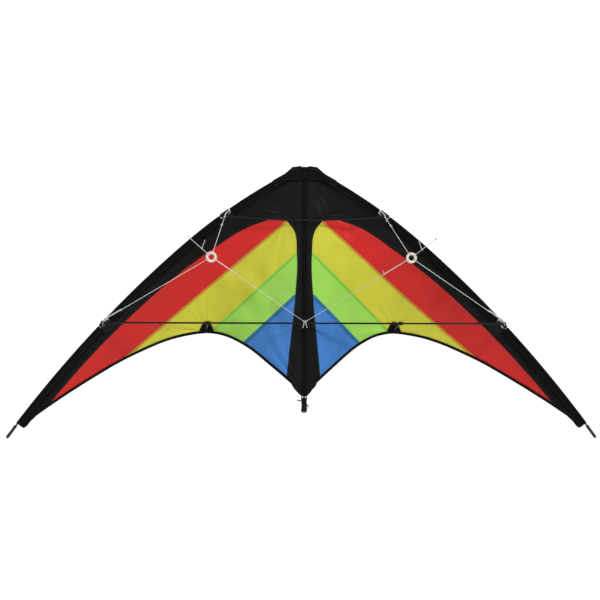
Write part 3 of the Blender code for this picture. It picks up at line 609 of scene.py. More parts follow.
def braided(name, colour, groove_shade, pitch=0.0016, specular=0.25, sheen=0.12):
    """Braided line: two sets of strands that cross round it, with painted shade in the grooves between them.
    """
    paint = Paint(name, colour, 0.75, specular=specular)
    u, v = paint.uv()
    lean = paint.math("MULTIPLY", v, 1.4)
    one = paint.wave(paint.math("ADD", u, lean), pitch)
    other = paint.wave(paint.math("SUBTRACT", u, lean), pitch)
    strands = paint.math("MAXIMUM", one, other)
    # painted shade: the grooves between the strands take the darker colour
    paint.base(paint.mix_colour(strands, groove_shade, colour))
    paint.vary_roughness(paint.noise(200.0), 0.65, 0.88)
    paint.bump(strands, 0.00015, 0.8)
    paint.put("Sheen Weight", sheen)
    return paint.material


def glass_fibre(name):
    """Pultruded rod: black resin gloss with faint streaks of fibre."""
    colour = (0.0035, 0.0035, 0.0038)
    paint = Paint(name, colour, 0.32, specular=0.16)
    streaks = paint.noise(60.0, detail=5.0, stretch=(1, 14, 6))
    specks = paint.noise(900.0, detail=2.0)
    tone = paint.mix_colour(streaks, scaled(colour, 0.6), (0.014, 0.014, 0.015))
    paint.base(paint.mix_colour(paint.math("MULTIPLY", specks, 0.25), tone, (0.022, 0.022, 0.023)))
    paint.vary_roughness(streaks, 0.24, 0.46)
    paint.bump(specks, 0.00004, 0.6)
    return paint.material


def moulded(name):
    """Soft black moulding with a fine spark-eroded grain and rubbed spots."""
    colour = (0.0035, 0.0035, 0.0038)
    paint = Paint(name, colour, 0.48, specular=0.14)
    rubbed = paint.noise(140.0, detail=4.0)
    paint.base(paint.mix_colour(rubbed, scaled(colour, 0.7), scaled(colour, 2.1)))
    paint.vary_roughness(rubbed, 0.38, 0.58)
    paint.bump(paint.noise(1800.0, detail=2.0), 0.00006, 0.5)
    return paint.material


def ring_plastic(name):
    """Glossy off-white moulding, a little yellowed, with fine scuffs."""
    colour = (0.640, 0.620, 0.580)
    paint = Paint(name, colour, 0.28, specular=0.5)
    cloud = paint.noise(160.0, detail=4.0)
    paint.base(paint.mix_colour(cloud, (0.58, 0.55, 0.49), (0.70, 0.68, 0.64)))
    paint.vary_roughness(paint.noise(500.0, detail=5.0), 0.18, 0.42)
    paint.bump(paint.noise(700.0), 0.00005, 0.4)
    paint.put("Coat Weight", 0.25)
    paint.put("Coat Roughness", 0.15)
    return paint.material


def thread(name, colour):
    paint = Paint(name, colour, 0.6, specular=0.3)
    twist = paint.noise(1500.0, detail=2.0)
    paint.base(paint.mix_colour(twist, scaled(colour, 0.7), scaled(colour, 1.2)))
    paint.bump(twist, 0.00008, 0.6)
    paint.put("Sheen Weight", 0.1)
    return paint.material


BLACK = (0.0024, 0.0024, 0.0025)
RED = (0.520, 0.012, 0.009)
YELLOW = (0.500, 0.480, 0.034)
GREEN = (0.275, 0.560, 0.075)
BLUE = (0.040, 0.172, 0.480)
materials = {
    "black_ripstop": ripstop("black_ripstop", BLACK, spread=0.35, specular=0.13, sheen=0.0),
    "red_ripstop": ripstop("red_ripstop", RED),
    "yellow_ripstop": ripstop("yellow_ripstop", YELLOW),
    "green_ripstop": ripstop("green_ripstop", GREEN),
    "blue_ripstop": ripstop("blue_ripstop", BLUE),
    "black_webbing": webbing("black_webbing", (0.0020, 0.0020, 0.0021)),
    "black_tape": webbing("black_tape", (0.0022, 0.0022, 0.0023), rib=0.0008, lift=0.0002),
    "glassfibre_rod": glass_fibre("glassfibre_rod"),
    "moulded_fitting": moulded("moulded_fitting"),
    "tow_ring": ring_plastic("tow_ring"),
    "bridle_line": braided("bridle_line", (0.660, 0.640, 0.600), (0.340, 0.325, 0.300)),
    "shock_cord": braided("shock_cord", (0.006, 0.006, 0.0063), (0.002, 0.002, 0.002), pitch=0.0022,
                          specular=0.08, sheen=0.0),
}
seam_materials = {
    "red_yellow": ripstop("red_yellow_overlap", (0.460, 0.200, 0.018)),
    "yellow_green": ripstop("yellow_green_overlap", (0.190, 0.500, 0.050)),
    "green_blue": ripstop("green_blue_overlap", (0.014, 0.135, 0.290)),
    "black": ripstop("black_overlap", (0.0040, 0.0040, 0.0045), spread=0.2, specular=0.10, sheen=0.01),
}
tip_line_look = braided("tip_line", (0.075, 0.075, 0.078), (0.010, 0.010, 0.011))
thread_materials = {
    "grey": thread("grey_thread", (0.016, 0.016, 0.017)),
    "amber": thread("amber_thread", (0.420, 0.250, 0.030)),
    "green": thread("green_thread", (0.130, 0.360, 0.040)),
    "blue": thread("blue_thread", (0.010, 0.095, 0.210)),
}


def finish(obj, body, slot, material=None, replaces=()):
    """Give a piece its material, the one of its slot unless another is given, and its body, and hide the
    nodes it stands for.
    """
    obj.data.materials.clear()
    obj.data.materials.append(material or materials[slot])
    if replaces:
        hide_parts(*replaces)
    if body:
        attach(obj, body)
    return obj


def side_name(side):
    return "right" if side > 0 else "left"


def world(point, side):
    return np.array([side * point[0], point[1], point[2]])


# ---- camera --------------------------------------------------------------------------
def make_camera():
    data = bpy.data.cameras.new("view_camera")
    data.sensor_width = 36.0
    data.lens = data.sensor_width * CAMERA_DISTANCE / PICTURE_M
    data.clip_end = 60.0
    camera = bpy.data.objects.new("view_camera", data)
    bpy.context.scene.collection.objects.link(camera)
    away = Vector((math.sin(CAMERA_AZIMUTH), -math.cos(CAMERA_AZIMUTH), 0.0))
    camera.location = Vector(VIEW_CENTRE) + away * CAMERA_DISTANCE
    camera.rotation_mode = "XYZ"
    camera.rotation_euler = (math.pi / 2, -CAMERA_ROLL, CAMERA_AZIMUTH)
    bpy.context.scene.camera = camera


make_camera()


# ---- cords ---------------------------------------------------------------------------
def run(start, end, steps):
    start = np.asarray(start, float)
    end = np.asarray(end, float)
    return [start + (end - start) * i / steps for i in range(steps + 1)]


def barrel_knot(name, centre, axis, cord_r, turns=3, core=1.6):
    """A few tight turns of cord round its own line."""
    axis = unit(axis)
    first = unit(np.cross(axis, cross_helper(axis)))
    second = np.cross(axis, first)
    steps = turns * 12
    path = []
    for i in range(steps + 1):
        share = i / steps
        swell = cord_r * (core + 0.35 * math.sin(math.pi * share))
        middle = centre + axis * (share - 0.5) * turns * 2 * cord_r
        path.append(circle(middle, first, second, swell, 2 * math.pi * turns * share))
    return tube(name, path, cord_r, around=8)


def tag_end(name, start, directions, cord_r):
    """Short cut end of cord that leaves a knot and bends a little."""
    points = [np.asarray(start, float)]
    for step in directions:
        points.append(points[-1] + np.asarray(step, float))
    return tube(name, bezier_run(points, 10), cord_r, around=8)


def bezier_run(points, steps):
    """Smooth run of points near three or more corner points."""
    points = [np.asarray(p, float) for p in points]
    degree = len(points) - 1
    return [sum(math.comb(degree, k) * (1 - t) ** (degree - k) * t ** k * p for k, p in enumerate(points))
            for t in (i / steps for i in range(steps + 1))]


def ring_loops(name, side, toward_point, offset):
    """Two turns of cord round the tow ring's own thickness, facing a leg."""
    centre = np.array(RING_CENTRE)
    way = np.asarray(toward_point, float) - centre
    loops = []
    for index, shift in enumerate((-offset, offset)):
        angle = math.atan2(way[2], way[0]) + shift
        radial = np.array([math.cos(angle), 0.0, math.sin(angle)])
        path = [world(circle(centre + radial * RING_MAJOR, radial, -FRONT, RING_TUBE_R + BRIDLE_R * 0.9,
                             2 * math.pi * i / 24), side) for i in range(25)]
        loop = tube(f"{name}_ring_loop_{index}", path, BRIDLE_R, around=8, round_ends=False)
        loops.append(finish(loop, f"{side_name(side)}_bridle", "bridle_line"))
    return loops


def leg_points(side, tie, steps=24):
    """A bridle leg's straight route, from its tie point to the ring's rim."""
    tie = np.array(tie)
    centre = np.array(RING_CENTRE)
    way = unit(centre - tie)
    rim = RING_MAJOR + RING_MINOR + BRIDLE_R
    return [world(p, side) for p in run(tie + way * BRIDLE_R, centre - way * rim, steps)]


def declare_cord(path):
    tuple(path[0])
    float(lengths_along(path)[-1])
    [tuple(p) for p in path]


def build_bridle(side):
    """The legs, the inhaul and the leader of one tow ring, with their knots and loops."""
    label = side_name(side)
    bridle = f"{label}_bridle"
    ring_at = np.array(RING_CENTRE)

    def piece(obj, body=bridle, replaces=()):
        return finish(obj, body, "bridle_line", replaces=replaces)

    def across(share_from_tie, tie):
        return np.array(tie) + (ring_at - np.array(tie)) * share_from_tie

    def doubled(name, tie, first, last, steps, off, radius):
        route = run(across(first, tie), across(last, tie), steps)
        return tube(f"{label}_{name}_second_strand", [world(p, side) + off for p in route], radius)

    for place, tie, knot_share in (("upper", UPPER_TIE, 0.20), ("lower", LOWER_TIE, 0.165)):
        name = f"{label}_{place}_leg"
        path = leg_points(side, tie)
        leg = piece(tube(f"{name}_line", path, BRIDLE_R), replaces=(f"{label}_{place}_bridle_leg",))
        knot_at = world(across(knot_share, tie), side)
        bends = [(side * 0.002, -0.001, 0.000), (side * 0.002, 0.0, -0.002)]
        extras = [piece(barrel_knot(f"{name}_knot", knot_at, world(ring_at - np.array(tie), side),
                                    BRIDLE_R, turns=2)),
                  piece(tag_end(f"{name}_tag", knot_at, bends, 0.0005))]
        if place == "lower":
            off = np.array([0.0011 * side, -0.0006, 0.0012])
            extras.append(piece(doubled("lower_leg", tie, 0.012, knot_share, 10, off, BRIDLE_R)))
        extras += ring_loops(f"{label}_{place}", side, tie, 0.13)
        declare_cord(path)

    path = leg_points(side, CENTRE_TIE, 40)
    inhaul = piece(tube(f"{label}_inhaul_line", path, INHAUL_R), None, (f"{label}_inhaul",))
    knot_share = 0.75
    knot_at = world(across(knot_share, CENTRE_TIE), side)
    off = np.array([0.0, -0.0008, 0.0013])
    bends = [(side * -0.002, -0.001, 0.003), (side * -0.002, -0.001, 0.004)]
    extras = [piece(barrel_knot(f"{label}_inhaul_knot", knot_at,
                                world(ring_at - np.array(CENTRE_TIE), side), INHAUL_R), None),
              piece(doubled("inhaul", CENTRE_TIE, knot_share, 0.955, 14, off, INHAUL_R), None),
              piece(tag_end(f"{label}_inhaul_tag", knot_at, bends, INHAUL_R), None)]
    for obj in [inhaul] + extras:
        tuple(path[0])
        tuple(path[-1])
        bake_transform(obj)
    extras += ring_loops(f"{label}_inhaul", side, CENTRE_TIE, 0.13)
    declare_cord(path)

    way = unit(np.array(LEADER_END) - ring_at)
    path = [world(p, side) for p in run(ring_at + way * (RING_MAJOR + RING_MINOR), LEADER_END, 12)]
    leader = piece(tube(f"{label}_leader_line", path, LEADER_R), replaces=(f"{label}_tow_leader",))
    axis = world(way, side)
    mid_at = world(ring_at + way * 0.031, side)
    bends = [(side * -0.003, 0.0, 0.006), (side * -0.004, 0.001, 0.012)]
    extras = [piece(barrel_knot(f"{label}_leader_stop_knot", world(LEADER_END, side) - axis * 0.004,
                                axis, LEADER_R)),
              piece(barrel_knot(f"{label}_leader_knot", mid_at, axis, LEADER_R, turns=2)),
              piece(tag_end(f"{label}_leader_tag", mid_at, bends, LEADER_R))]
    extras += ring_loops(f"{label}_leader", side, LEADER_END, 0.1)
    declare_cord(path)


for wing_side in (-1, 1):
    build_bridle(wing_side)


# ---- sail panels ---------------------------------------------------------------------
def panel_outlines():
    """Edges of every panel of a wing; low and high run outwards from the spine."""
    yellow_t = solve(lambda t: -strip_edge(t)[1], -YELLOW_TOP_Z)
    green_t = solve(lambda t: -strip_edge(t)[1], -GREEN_TOP_Z)
    strip_t = solve(lambda t: hem_z(strip_edge(t)[0], HEM_UNDERLAP) - strip_edge(t)[1], 0.0, 0.5, 1.0)
    band_t = solve(lambda t: hem_z(band_edge(t)[0], HEM_UNDERLAP) - band_edge(t)[1], 0.0, 0.5, 1.0)

    def hem_between(a, b):
        def point(t):
            x = a[0] + (b[0] - a[0]) * t
            drop = (1 - t) * (a[1] - hem_z(a[0], HEM_UNDERLAP)) + t * (b[1] - hem_z(b[0], HEM_UNDERLAP))
            return (x, hem_z(x, HEM_UNDERLAP) + drop)
        return point

    def on_hem(x):
        return (x, hem_z(x, HEM_UNDERLAP))
    seams = {"red": line(BAND_CORNER, on_hem(SEAM_ENDS_X["red"])),
             "yellow": line(strip_edge(yellow_t), on_hem(SEAM_ENDS_X["yellow"])),
             "green": line(strip_edge(green_t), on_hem(SEAM_ENDS_X["green"]))}
    band = part_of(band_edge, 0.0, band_t)
    strip = part_of(strip_edge, 0.0, strip_t)
    lower_strip = part_of(strip_edge, green_t, strip_t)
    middle_strip = part_of(strip_edge, green_t, yellow_t)
    upper_strip = part_of(strip_edge, yellow_t, 0.0)
    beside_tunnel = line((0.0030, BAND_CORNER[1]), on_hem(0.0030))
    panels = {
        "red": (seams["red"], band, None),
        "yellow": (seams["yellow"], seams["red"], upper_strip),
        "green": (seams["green"], seams["yellow"], middle_strip),
        "blue": (lower_strip, seams["green"], None),
        "centre": (beside_tunnel, strip, None),
    }
    outlines = {}
    for name, (low, high, start) in panels.items():
        start = start or line(low(0), high(0))
        outlines[name] = (low, high, start, hem_between(low(1), high(1)))
    return outlines, seams, band, strip


OUTLINES, SEAMS, BAND, STRIP = panel_outlines()


def cut_size(points):
    """(width, length) of the rectangle a panel is cut from, and its own area."""
    a = points[:-1, :-1]
    b = points[1:, :-1]
    c = points[1:, 1:]
    d = points[:-1, 1:]
    area = 0.5 * (np.linalg.norm(np.cross(b - a, c - a), axis=-1)
                  + np.linalg.norm(np.cross(c - a, d - a), axis=-1)).sum()
    flat = points.reshape(-1, 3)
    flat = flat - flat.mean(axis=0)
    _, _, axes = np.linalg.svd(flat, full_matrices=False)
    spread = flat @ axes.T
    length, width = (float(spread[:, i].max() - spread[:, i].min()) for i in (0, 1))
    return (max(width, float(area) / length), length), float(area)


def hinge(obj, side):
    """Bake a piece's placing into its mesh."""
    f"{side_name(side)}_wing"
    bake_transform(obj)


def sewn(name, places, side, lift, thickness, slot, material=None, replaces=(), hinged=False):
    """A thin piece that lies on the sail over a grid of (x, z) places, and its middle surface."""
    points = lay(places, side, lift)
    piece = sheet_mesh(name, points, thickness, places)
    finish(piece, None if hinged else f"{side_name(side)}_wing", slot, material, replaces)
    if hinged:
        hinge(piece, side)
    return piece, points


def stitches_on_sail(name, places, side, lift, slot, colour="grey", **look):
    base = lay(places, side, lift)
    row = stitch_row(name, base, lay(places, side, lift + 0.001) - base, **look)
    return finish(row, f"{side_name(side)}_wing", slot, thread_materials[colour])


def ribbon(name, side, edge, width, lift, slot, material, steps, shift):
    """Flat strip of cloth along an edge on the sail."""
    across = np.linspace(-width / 2 + shift, width / 2 + shift, 4)
    grid = np.array([[beside(edge, i / steps, d) for d in across] for i in range(steps + 1)])
    return sewn(name, grid, side, lift, CLOTH_T, slot, material)[0]


def stitched(name, side, edge, offset, lift, slot, colour="grey", span=(0.01, 0.99), steps=60, slant=0.0,
             end_t=1.0):
    """Row of stitches that follows an edge on the sail, a distance to its left."""
    first, last = span
    places = [beside(edge, first + (last - first) * i / steps, offset, end_t) for i in range(steps + 1)]
    return stitches_on_sail(name, places, side, lift, slot, colour, slant=slant)


def build_sail(side):
    """The panels of one wing, the seams between them, the hem and the sleeves."""
    label = side_name(side)
    grids = {name: surface_grid(OUTLINES[name], columns, rows) for name, columns, rows in (
        ("red", 180, 66), ("yellow", 140, 76), ("green", 100, 56), ("blue", 80, 56), ("centre", 110, 8))}
    grids["leading"] = leading_grid()
    made = {}
    for name, grid in grids.items():
        slot = "black_ripstop" if name in ("centre", "leading") else f"{name}_ripstop"
        made[name] = sewn(f"{label}_{name}_cloth", grid, side, 0.0, CLOTH_T, slot,
                          replaces=(f"{label}_{name}_panel",))

    def seam(key, edge, width, lift, slot, material, offsets, colour, span, steps, shift=0.0):
        strip = ribbon(f"{label}_{key}_seam", side, edge, width, lift, slot, material, steps[0], shift)
        return [strip] + [stitched(f"{label}_{key}_stitches_{index}", side, edge, offset, lift + CLOTH_T / 2,
                                   slot, colour, span, steps[1], slant=0.0007)
                          for index, offset in enumerate(offsets)]

    extras = {"blue": []}
    for name, key, width, slot, colour in (("red", "red_yellow", 0.0044, "red_ripstop", "amber"),
                                           ("yellow", "yellow_green", 0.0056, "yellow_ripstop", "green"),
                                           ("green", "green_blue", 0.0078, "blue_ripstop", "blue")):
        extras[name] = seam(key, SEAMS[name], width, LAYER, slot, seam_materials[key],
                            (-width * 0.30, width * 0.30), colour, (0.03, 0.975), (120, 80))
    for name, key, edge, inwards in (("red", "band", BAND, 1), ("centre", "strip", STRIP, -1)):
        binding = seam(key, edge, BINDING_W, LAYER * 1.6, "black_ripstop", seam_materials["black"],
                       (inwards * 0.0003, inwards * 0.0040), "grey", (0.01, 0.985), (160, 120),
                       shift=inwards * BINDING_W * 0.35)
        extras[name] = extras.get(name, []) + binding
    extras["leading"] = build_hem(side) + build_sleeves(side)
    for name, (panel, points) in made.items():
        flat, area = cut_size(points)
        min(area, flat[0] * flat[1])
        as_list(extras[name])


def clear_of_connectors(t):
    """How far inside the rod's axis the cloth ends: farther beside a connector."""
    gap = 0.0024
    for connector_t in (UPPER_T, LOWER_T):
        distance = abs(t - connector_t) * EDGE_LENGTH
        gap += 0.0027 * float(smooth((0.0120 - distance) / 0.0006))
    return gap


def leading_grid():
    """The black cloth of the nose and of the band behind the leading edge."""
    band_columns = 330
    corner_columns = 30
    columns = band_columns + 2 * corner_columns
    corner = corner_columns / columns
    inner_x = 0.0030
    tip_x = 0.5960
    below = line((inner_x, CLOTH_TOP), (inner_x, BAND_CORNER[1]))
    across = line(below(1), BAND(0))

    def low(t):
        if t < corner:
            return below(t / corner)
        if t < 2 * corner:
            return across((t - corner) / corner)
        return BAND((t - 2 * corner) / (1 - 2 * corner))
    first_t, second_t = (solve(lambda t: leading_edge(t)[0], x) for x in (0.066, 0.100))
    last_t = 0.955

    def high(t):
        if t < 2 * corner:
            along = first_t + (second_t - first_t) * t / (2 * corner)
        else:
            along = second_t + (last_t - second_t) * (t - 2 * corner) / (1 - 2 * corner)
        return beside(leading_edge, along, -clear_of_connectors(along))
    hem = line(low(1), (tip_x, hem_z(tip_x, HEM_UNDERLAP)))

    def tip_end(v):
        if v < 0.75:
            return hem(v / 0.75)
        return line(hem(1), high(1))((v - 0.75) / 0.25)
    return surface_grid((low, high, line(low(0), high(0)), tip_end), columns, 44, fade=9)


def build_hem(side):
    """Tape folded over the trailing edge, from the tail to the tip, and its stitches."""
    label = side_name(side)
    first = solve(lambda s: trailing_edge(s)[0], CENTRE_EDGE, 0.0, 2.0)
    steps = 260
    front_half = [(TAPE_W * share, HEM_LIFT) for share in (1.0, 0.6, 0.25, 0.08)]
    section = front_half + [(-0.0001, 0.0)] + [(depth, -lift) for depth, lift in reversed(front_half)]
    grid = []
    lifts = []
    for i in range(steps + 1):
        t = first + (2.0 - first) * i / steps
        grid.append([beside(trailing_edge, t, d, 2.0) for d, _ in section])
        # flat at the spine, where the two hems come close when both wings fold
        clear = 0.4 + 0.6 * float(smooth((trailing_edge(t)[0] - CENTRE_EDGE) / 0.008))
        lifts.append([lift * clear for _, lift in section])
    grid = np.array(grid)
    grid[..., 0] = np.maximum(grid[..., 0], CENTRE_EDGE)
    lengths = np.linspace(0, 0.80, steps + 1)
    uv = np.stack(np.meshgrid(lengths, np.linspace(0, 2 * TAPE_W, len(section)), indexing="ij"), axis=-1)
    tape = sheet_mesh(f"{label}_hem", lay(grid, side, np.array(lifts)), TAPE_T, uv, sharp=80)
    finish(tape, f"{label}_wing", "black_tape", replaces=(f"{label}_hem_tape",))
    return [tape, stitched(f"{label}_hem_stitches", side, trailing_edge, TAPE_W * 0.78, HEM_LIFT + TAPE_T / 2,
                           "black_tape", span=(first + 0.02, 1.99), steps=200, end_t=2.0)]


def build_sleeves(side):
    """Leading-edge sleeve: cloth round the rod, with both flaps sewn to the sail."""
    label = side_name(side)
    stretches = {"upper": (SLEEVE_START_T, UPPER_T - SLEEVE_CUT_T),
                 "middle": (UPPER_T + SLEEVE_CUT_T, LOWER_T - SLEEVE_CUT_T),
                 "lower": (LOWER_T + SLEEVE_CUT_T, SLEEVE_END_T)}
    wrap = np.radians([128, 100, 72, 44, 16, -16, -44, -72, -100, -128])
    flap_shares = (1.0, 0.82, 0.6, 0.42)
    made = []
    for place, (first, last) in stretches.items():
        steps = max(30, int((last - first) * 220))
        shares = [first + (last - first) * i / steps for i in range(steps + 1)]
        flaps = np.array([[beside(leading_edge, t, -FLAP_W * share * min(1.0, (1.0 - t) / 0.06 + 0.15))
                           for share in flap_shares] for t in shares])
        arc = []
        for t in shares:
            x, z = leading_edge(t)
            direction = edge_direction(leading_edge, t)
            out = np.array([-direction[1], 0.0, direction[0]])
            arc.append([world(circle((x, SPAR_Y, z), out, FRONT, SLEEVE_R, angle), side) for angle in wrap])
        points = np.concatenate([lay(flaps, side, LAYER), np.array(arc), lay(flaps, side, -LAYER)[:, ::-1]],
                                axis=1)
        sleeve = sheet_mesh(f"{label}_sleeve_{place}_cloth", points, TAPE_T, sharp=70)
        finish(sleeve, f"{label}_wing", "black_webbing", materials["black_tape"],
               replaces=(f"{label}_sleeve_{place}",))
        made.append(sleeve)
        seam = part_of(leading_edge, first, last)
        for index, offset in enumerate((-FLAP_W * 0.88, -FLAP_W * 0.42)):
            made.append(stitched(f"{label}_sleeve_{place}_stitches_{index}", side, seam, offset,
                                 LAYER + TAPE_T / 2, "black_webbing"))
    return made


for wing_side in (-1, 1):
    build_sail(wing_side)


# ---- spine, nose and tail ------------------------------------------------------------
def front_stitches(name, body, rows):
    """Rows of grey stitches on the front of the webbing."""
    for index, path in enumerate(rows):
        row = stitch_row(f"{name}_{index}", path, np.tile(FRONT, (len(path), 1)))
        finish(row, body, "black_webbing", thread_materials["grey"])


def folded_over(v, bottom, top, half_depth):
    """(y, z) on a strap that goes up the front, over the top and down the back."""
    if 0.3 <= v <= 0.7:
        turn = math.pi * (v - 0.3) / 0.4
        return (-half_depth * math.cos(turn), top - half_depth + half_depth * math.sin(turn))
    share = min(v, 1 - v) / 0.3
    return (math.copysign(half_depth, v - 0.5), bottom + (top - half_depth - bottom) * share)


def build_spine():
    """Spine tunnel: a strip of cloth pleated over the rod, sewn down on both sides."""
    half = ((0.0013, -0.0034), (0.0026, -0.0029), (0.0040, -0.0018), (0.0048, -0.0011),
            (0.0062, -0.0010), (0.0078, -0.0010))
    section = [(-x, y) for x, y in reversed(half)] + [(0.0, -0.0035), *half]
    window = 0.0145
    tunnel_end = -0.1600
    sewn_end = -0.1460
    for name, low, high in (("spine_tunnel_upper", window, CLOTH_TOP),
                            ("spine_tunnel_lower", tunnel_end, -window)):
        points = np.array([[(x * (1 - 0.36 * float(smooth((sewn_end - z) / 0.014))),
                             SPAR_Y + y + 0.00012 * math.sin(310 * z + 500 * x), z) for x, y in section]
                           for z in np.linspace(low, high, int((high - low) / 0.004) + 1)])
        tunnel = sheet_mesh(name + "_cloth", points[:, ::-1], TAPE_T, sharp=70)
        finish(tunnel, "centre", "black_webbing", materials["black_tape"], replaces=(name,))
        heights = np.linspace(max(low, sewn_end), high, 40)
        front_stitches(f"{name}_stitches", "centre",
                       [[(x, SPAR_Y - 0.0010 - TAPE_T / 2, z) for z in heights] for x in (-0.0062, 0.0062)])


def build_spine_flap(side):
    """Cloth that joins a wing to the spine."""
    grid = [[(x, z) for z in np.linspace(-0.1560, CLOTH_TOP, 110)] for x in np.linspace(0.0, 0.0100, 9)]
    sewn(f"{side_name(side)}_spine_flap", np.array(grid), side, -0.0006, CLOTH_T, "black_ripstop",
         hinged=True)


def build_tail_patch(side):
    """Half of the patch sewn over the sail's tail, with a round lower end."""
    low = -0.1620
    high = -0.1300
    grid = []
    for v in np.linspace(0, 1, 22):
        z = high + (low - high) * v
        half_w = 0.0296 * (1 - v) ** 0.95 + 0.0056 * math.sqrt(max(0.0, v - v ** 6))
        grid.append([(half_w * u, z + 0.0010 * u * u * (1 - v)) for u in np.linspace(0, 1, 14)])
    sewn(f"{side_name(side)}_tail_patch", np.array(grid), side, 0.0019, 0.0008, "black_webbing",
         materials["black_ripstop"], hinged=True)


def strap(name, body, xs, span_at, half_depth, node):
    """Webbing folded over the top of the rods, with one (bottom, top) for each x."""
    points = [[(x, SPAR_Y + y, z) for y, z in (folded_over(v, *span_at(x), half_depth)
                                               for v in np.linspace(0, 1, 31))] for x in xs]
    finish(sheet_mesh(name, points, WEBBING_T, sharp=70), body, "black_webbing", replaces=(node,))
    return SPAR_Y - half_depth - WEBBING_T / 2


def build_nose():
    """Pocket over the spine's end, and beside it a patch and a web for each wing."""
    half_w = 0.0078
    face_y = strap("nose_pocket_webbing", "centre", np.linspace(-half_w, half_w, 9),
                   lambda x: (CLOTH_TOP + 0.0003, NOSE_TOP - 0.0016), 0.0030, "nose_pocket")
    front_stitches("nose_pocket_stitches", "centre",
                   [[(x, face_y, z) for x in np.linspace(-half_w * 0.8, half_w * 0.8, 5)]
                    for z in (NOSE_MOUTH + 0.0010, NOSE_MOUTH + 0.0090)])
    for side in (-1, 1):
        build_nose_patch(side)
        build_nose_web(side)


def build_nose_web(side):
    """Cloth hinge between the nose pocket and the patch of one wing."""
    grid = np.array([[(x, z) for z in np.linspace(CLOTH_TOP - 0.0045, NOSE_TOP - 0.0030, 18)]
                     for x in np.linspace(0.0024, 0.0100, 10)])
    points = np.stack([side * grid[..., 0], np.full(grid.shape[:2], SPAR_Y + 0.00036), grid[..., 1]], axis=-1)
    web = sheet_mesh(f"{side_name(side)}_nose_web", points, CLOTH_T, grid)
    finish(web, None, "black_ripstop")
    hinge(web, side)


def build_nose_patch(side):
    """Webbing folded over the leading edge of one wing beside the nose pocket."""
    label = side_name(side)
    half_depth = 0.0044
    inner = 0.0079
    outer = 0.0705
    shoulder = 0.0240
    inset = 0.0022

    def span_at(x):
        x = abs(x)
        spar_z = leading_edge(solve(lambda t: leading_edge(t)[0], max(x, shoulder)))[1]
        taper = min(1.0, max(0.0, x - shoulder) / 0.0200)
        rounded = 0.0016 * smooth((x - 0.010) / 0.014)
        top = min(NOSE_TOP - float(rounded), spar_z + 0.0115 - 0.0065 * taper)
        return min(CLOTH_TOP - 0.0020, top - half_depth - 0.0120), top
    columns = 44
    face_y = strap(f"{label}_nose_webbing", f"{label}_wing",
                   [side * (inner + (outer - inner) * i / columns) for i in range(columns + 1)],
                   span_at, half_depth, f"{label}_nose_patch")
    xs = [side * x for x in np.linspace(inner + 0.002, outer - 0.002, 40)]
    lower = [(x, face_y, span_at(x)[0] + inset) for x in xs]
    upper = [(x, face_y, span_at(x)[1] - half_depth - 0.0012) for x in xs]
    end = [(side * (outer - inset), face_y, z) for z in np.linspace(lower[-1][2], upper[-1][2], 6)]
    front_stitches(f"{label}_nose_stitches", f"{label}_wing", (lower, upper, end))


def build_tail():
    """Shock cord round the tail nock, its knot and cut ends."""
    mouth_z = -0.1640
    cord_r = 0.0011
    strand_x = 0.0052
    turn_z = -0.1930
    loop = [(-strand_x, SPAR_Y, mouth_z + 0.0030)]
    for z in np.linspace(mouth_z, turn_z, 12):
        loop.append((-strand_x + 0.0005 * math.sin(200 * z), SPAR_Y - 0.0004, z))
    for step in range(1, 12):
        angle = math.pi * step / 12
        loop.append((-strand_x * math.cos(angle), SPAR_Y, turn_z - 0.0032 * math.sin(angle)))
    for z in np.linspace(turn_z, mouth_z, 12):
        loop.append((strand_x + 0.0005 * math.sin(260 * z), SPAR_Y - 0.0004, z))
    loop.append((strand_x, SPAR_Y, mouth_z + 0.0030))
    cord = tube("tail_cord", loop, cord_r, around=10)
    finish(cord, "centre", "shock_cord", replaces=("tail_shock_cord",))
    knot_at = np.array([-0.0015, SPAR_Y - 0.0062, -0.1720])
    knot = barrel_knot("tail_cord_knot", knot_at, (1.0, 0.0, 0.35), cord_r, turns=3, core=1.3)
    finish(knot, "centre", "shock_cord")
    tags = {"tail_cord_tag_left": [(-0.006, -0.001, 0.001), (-0.008, 0.0, 0.002)],
            "tail_cord_tag_right": [(0.006, -0.001, -0.004), (0.005, 0.0, -0.008)]}
    for name, steps in tags.items():
        finish(tag_end(name, knot_at, steps, cord_r), "centre", "shock_cord")


build_spine()
build_nose()
build_tail()
for wing_side in (-1, 1):
    build_spine_flap(wing_side)
    build_tail_patch(wing_side)


# ---- tips, ties and standoff patches -------------------------------------------------
def build_tip_cap(label, end, along):
    """Moulded cap on the rod's end: a lipped mouth, a slim waist and a domed nose."""
    profile = [(0.0, 0.0021), (0.0, 0.0036), (0.0010, 0.0039), (0.0024, 0.0038), (0.0034, 0.0033),
               (0.0060, 0.0032), (0.0240, 0.0034), (0.0275, 0.0035)]
    dome_start, dome_r = profile[-1]
    dome_length = TIP_CAP_DEPTH + TIP_CAP_NOSE - dome_start
    for step in range(1, 9):
        angle = math.pi / 2 * step / 9
        profile.append((dome_start + dome_length * math.sin(angle), dome_r * math.cos(angle)))
    cross = np.cross(along, -FRONT)
    base = end - along * (TIP_CAP_DEPTH + TIP_CAP_NOSE)
    around = 32
    points = [circle(base + along * distance, cross, -FRONT, radius, 2 * math.pi * j / around)
              for distance, radius in profile for j in range(around)]
    faces = [(a, d, c, b) for a, b, c, d in loop_faces(len(profile), around)]
    last = (len(profile) - 1) * around
    faces.append(tuple(range(around)))
    faces.append(tuple(last + j for j in range(around - 1, -1, -1)))
    cap = make_mesh(f"{label}_tip_cap_moulding", points, faces, flat_uvs(points, faces))
    finish(cap, f"{label}_wing", "moulded_fitting", replaces=(f"{label}_tip_cap",))


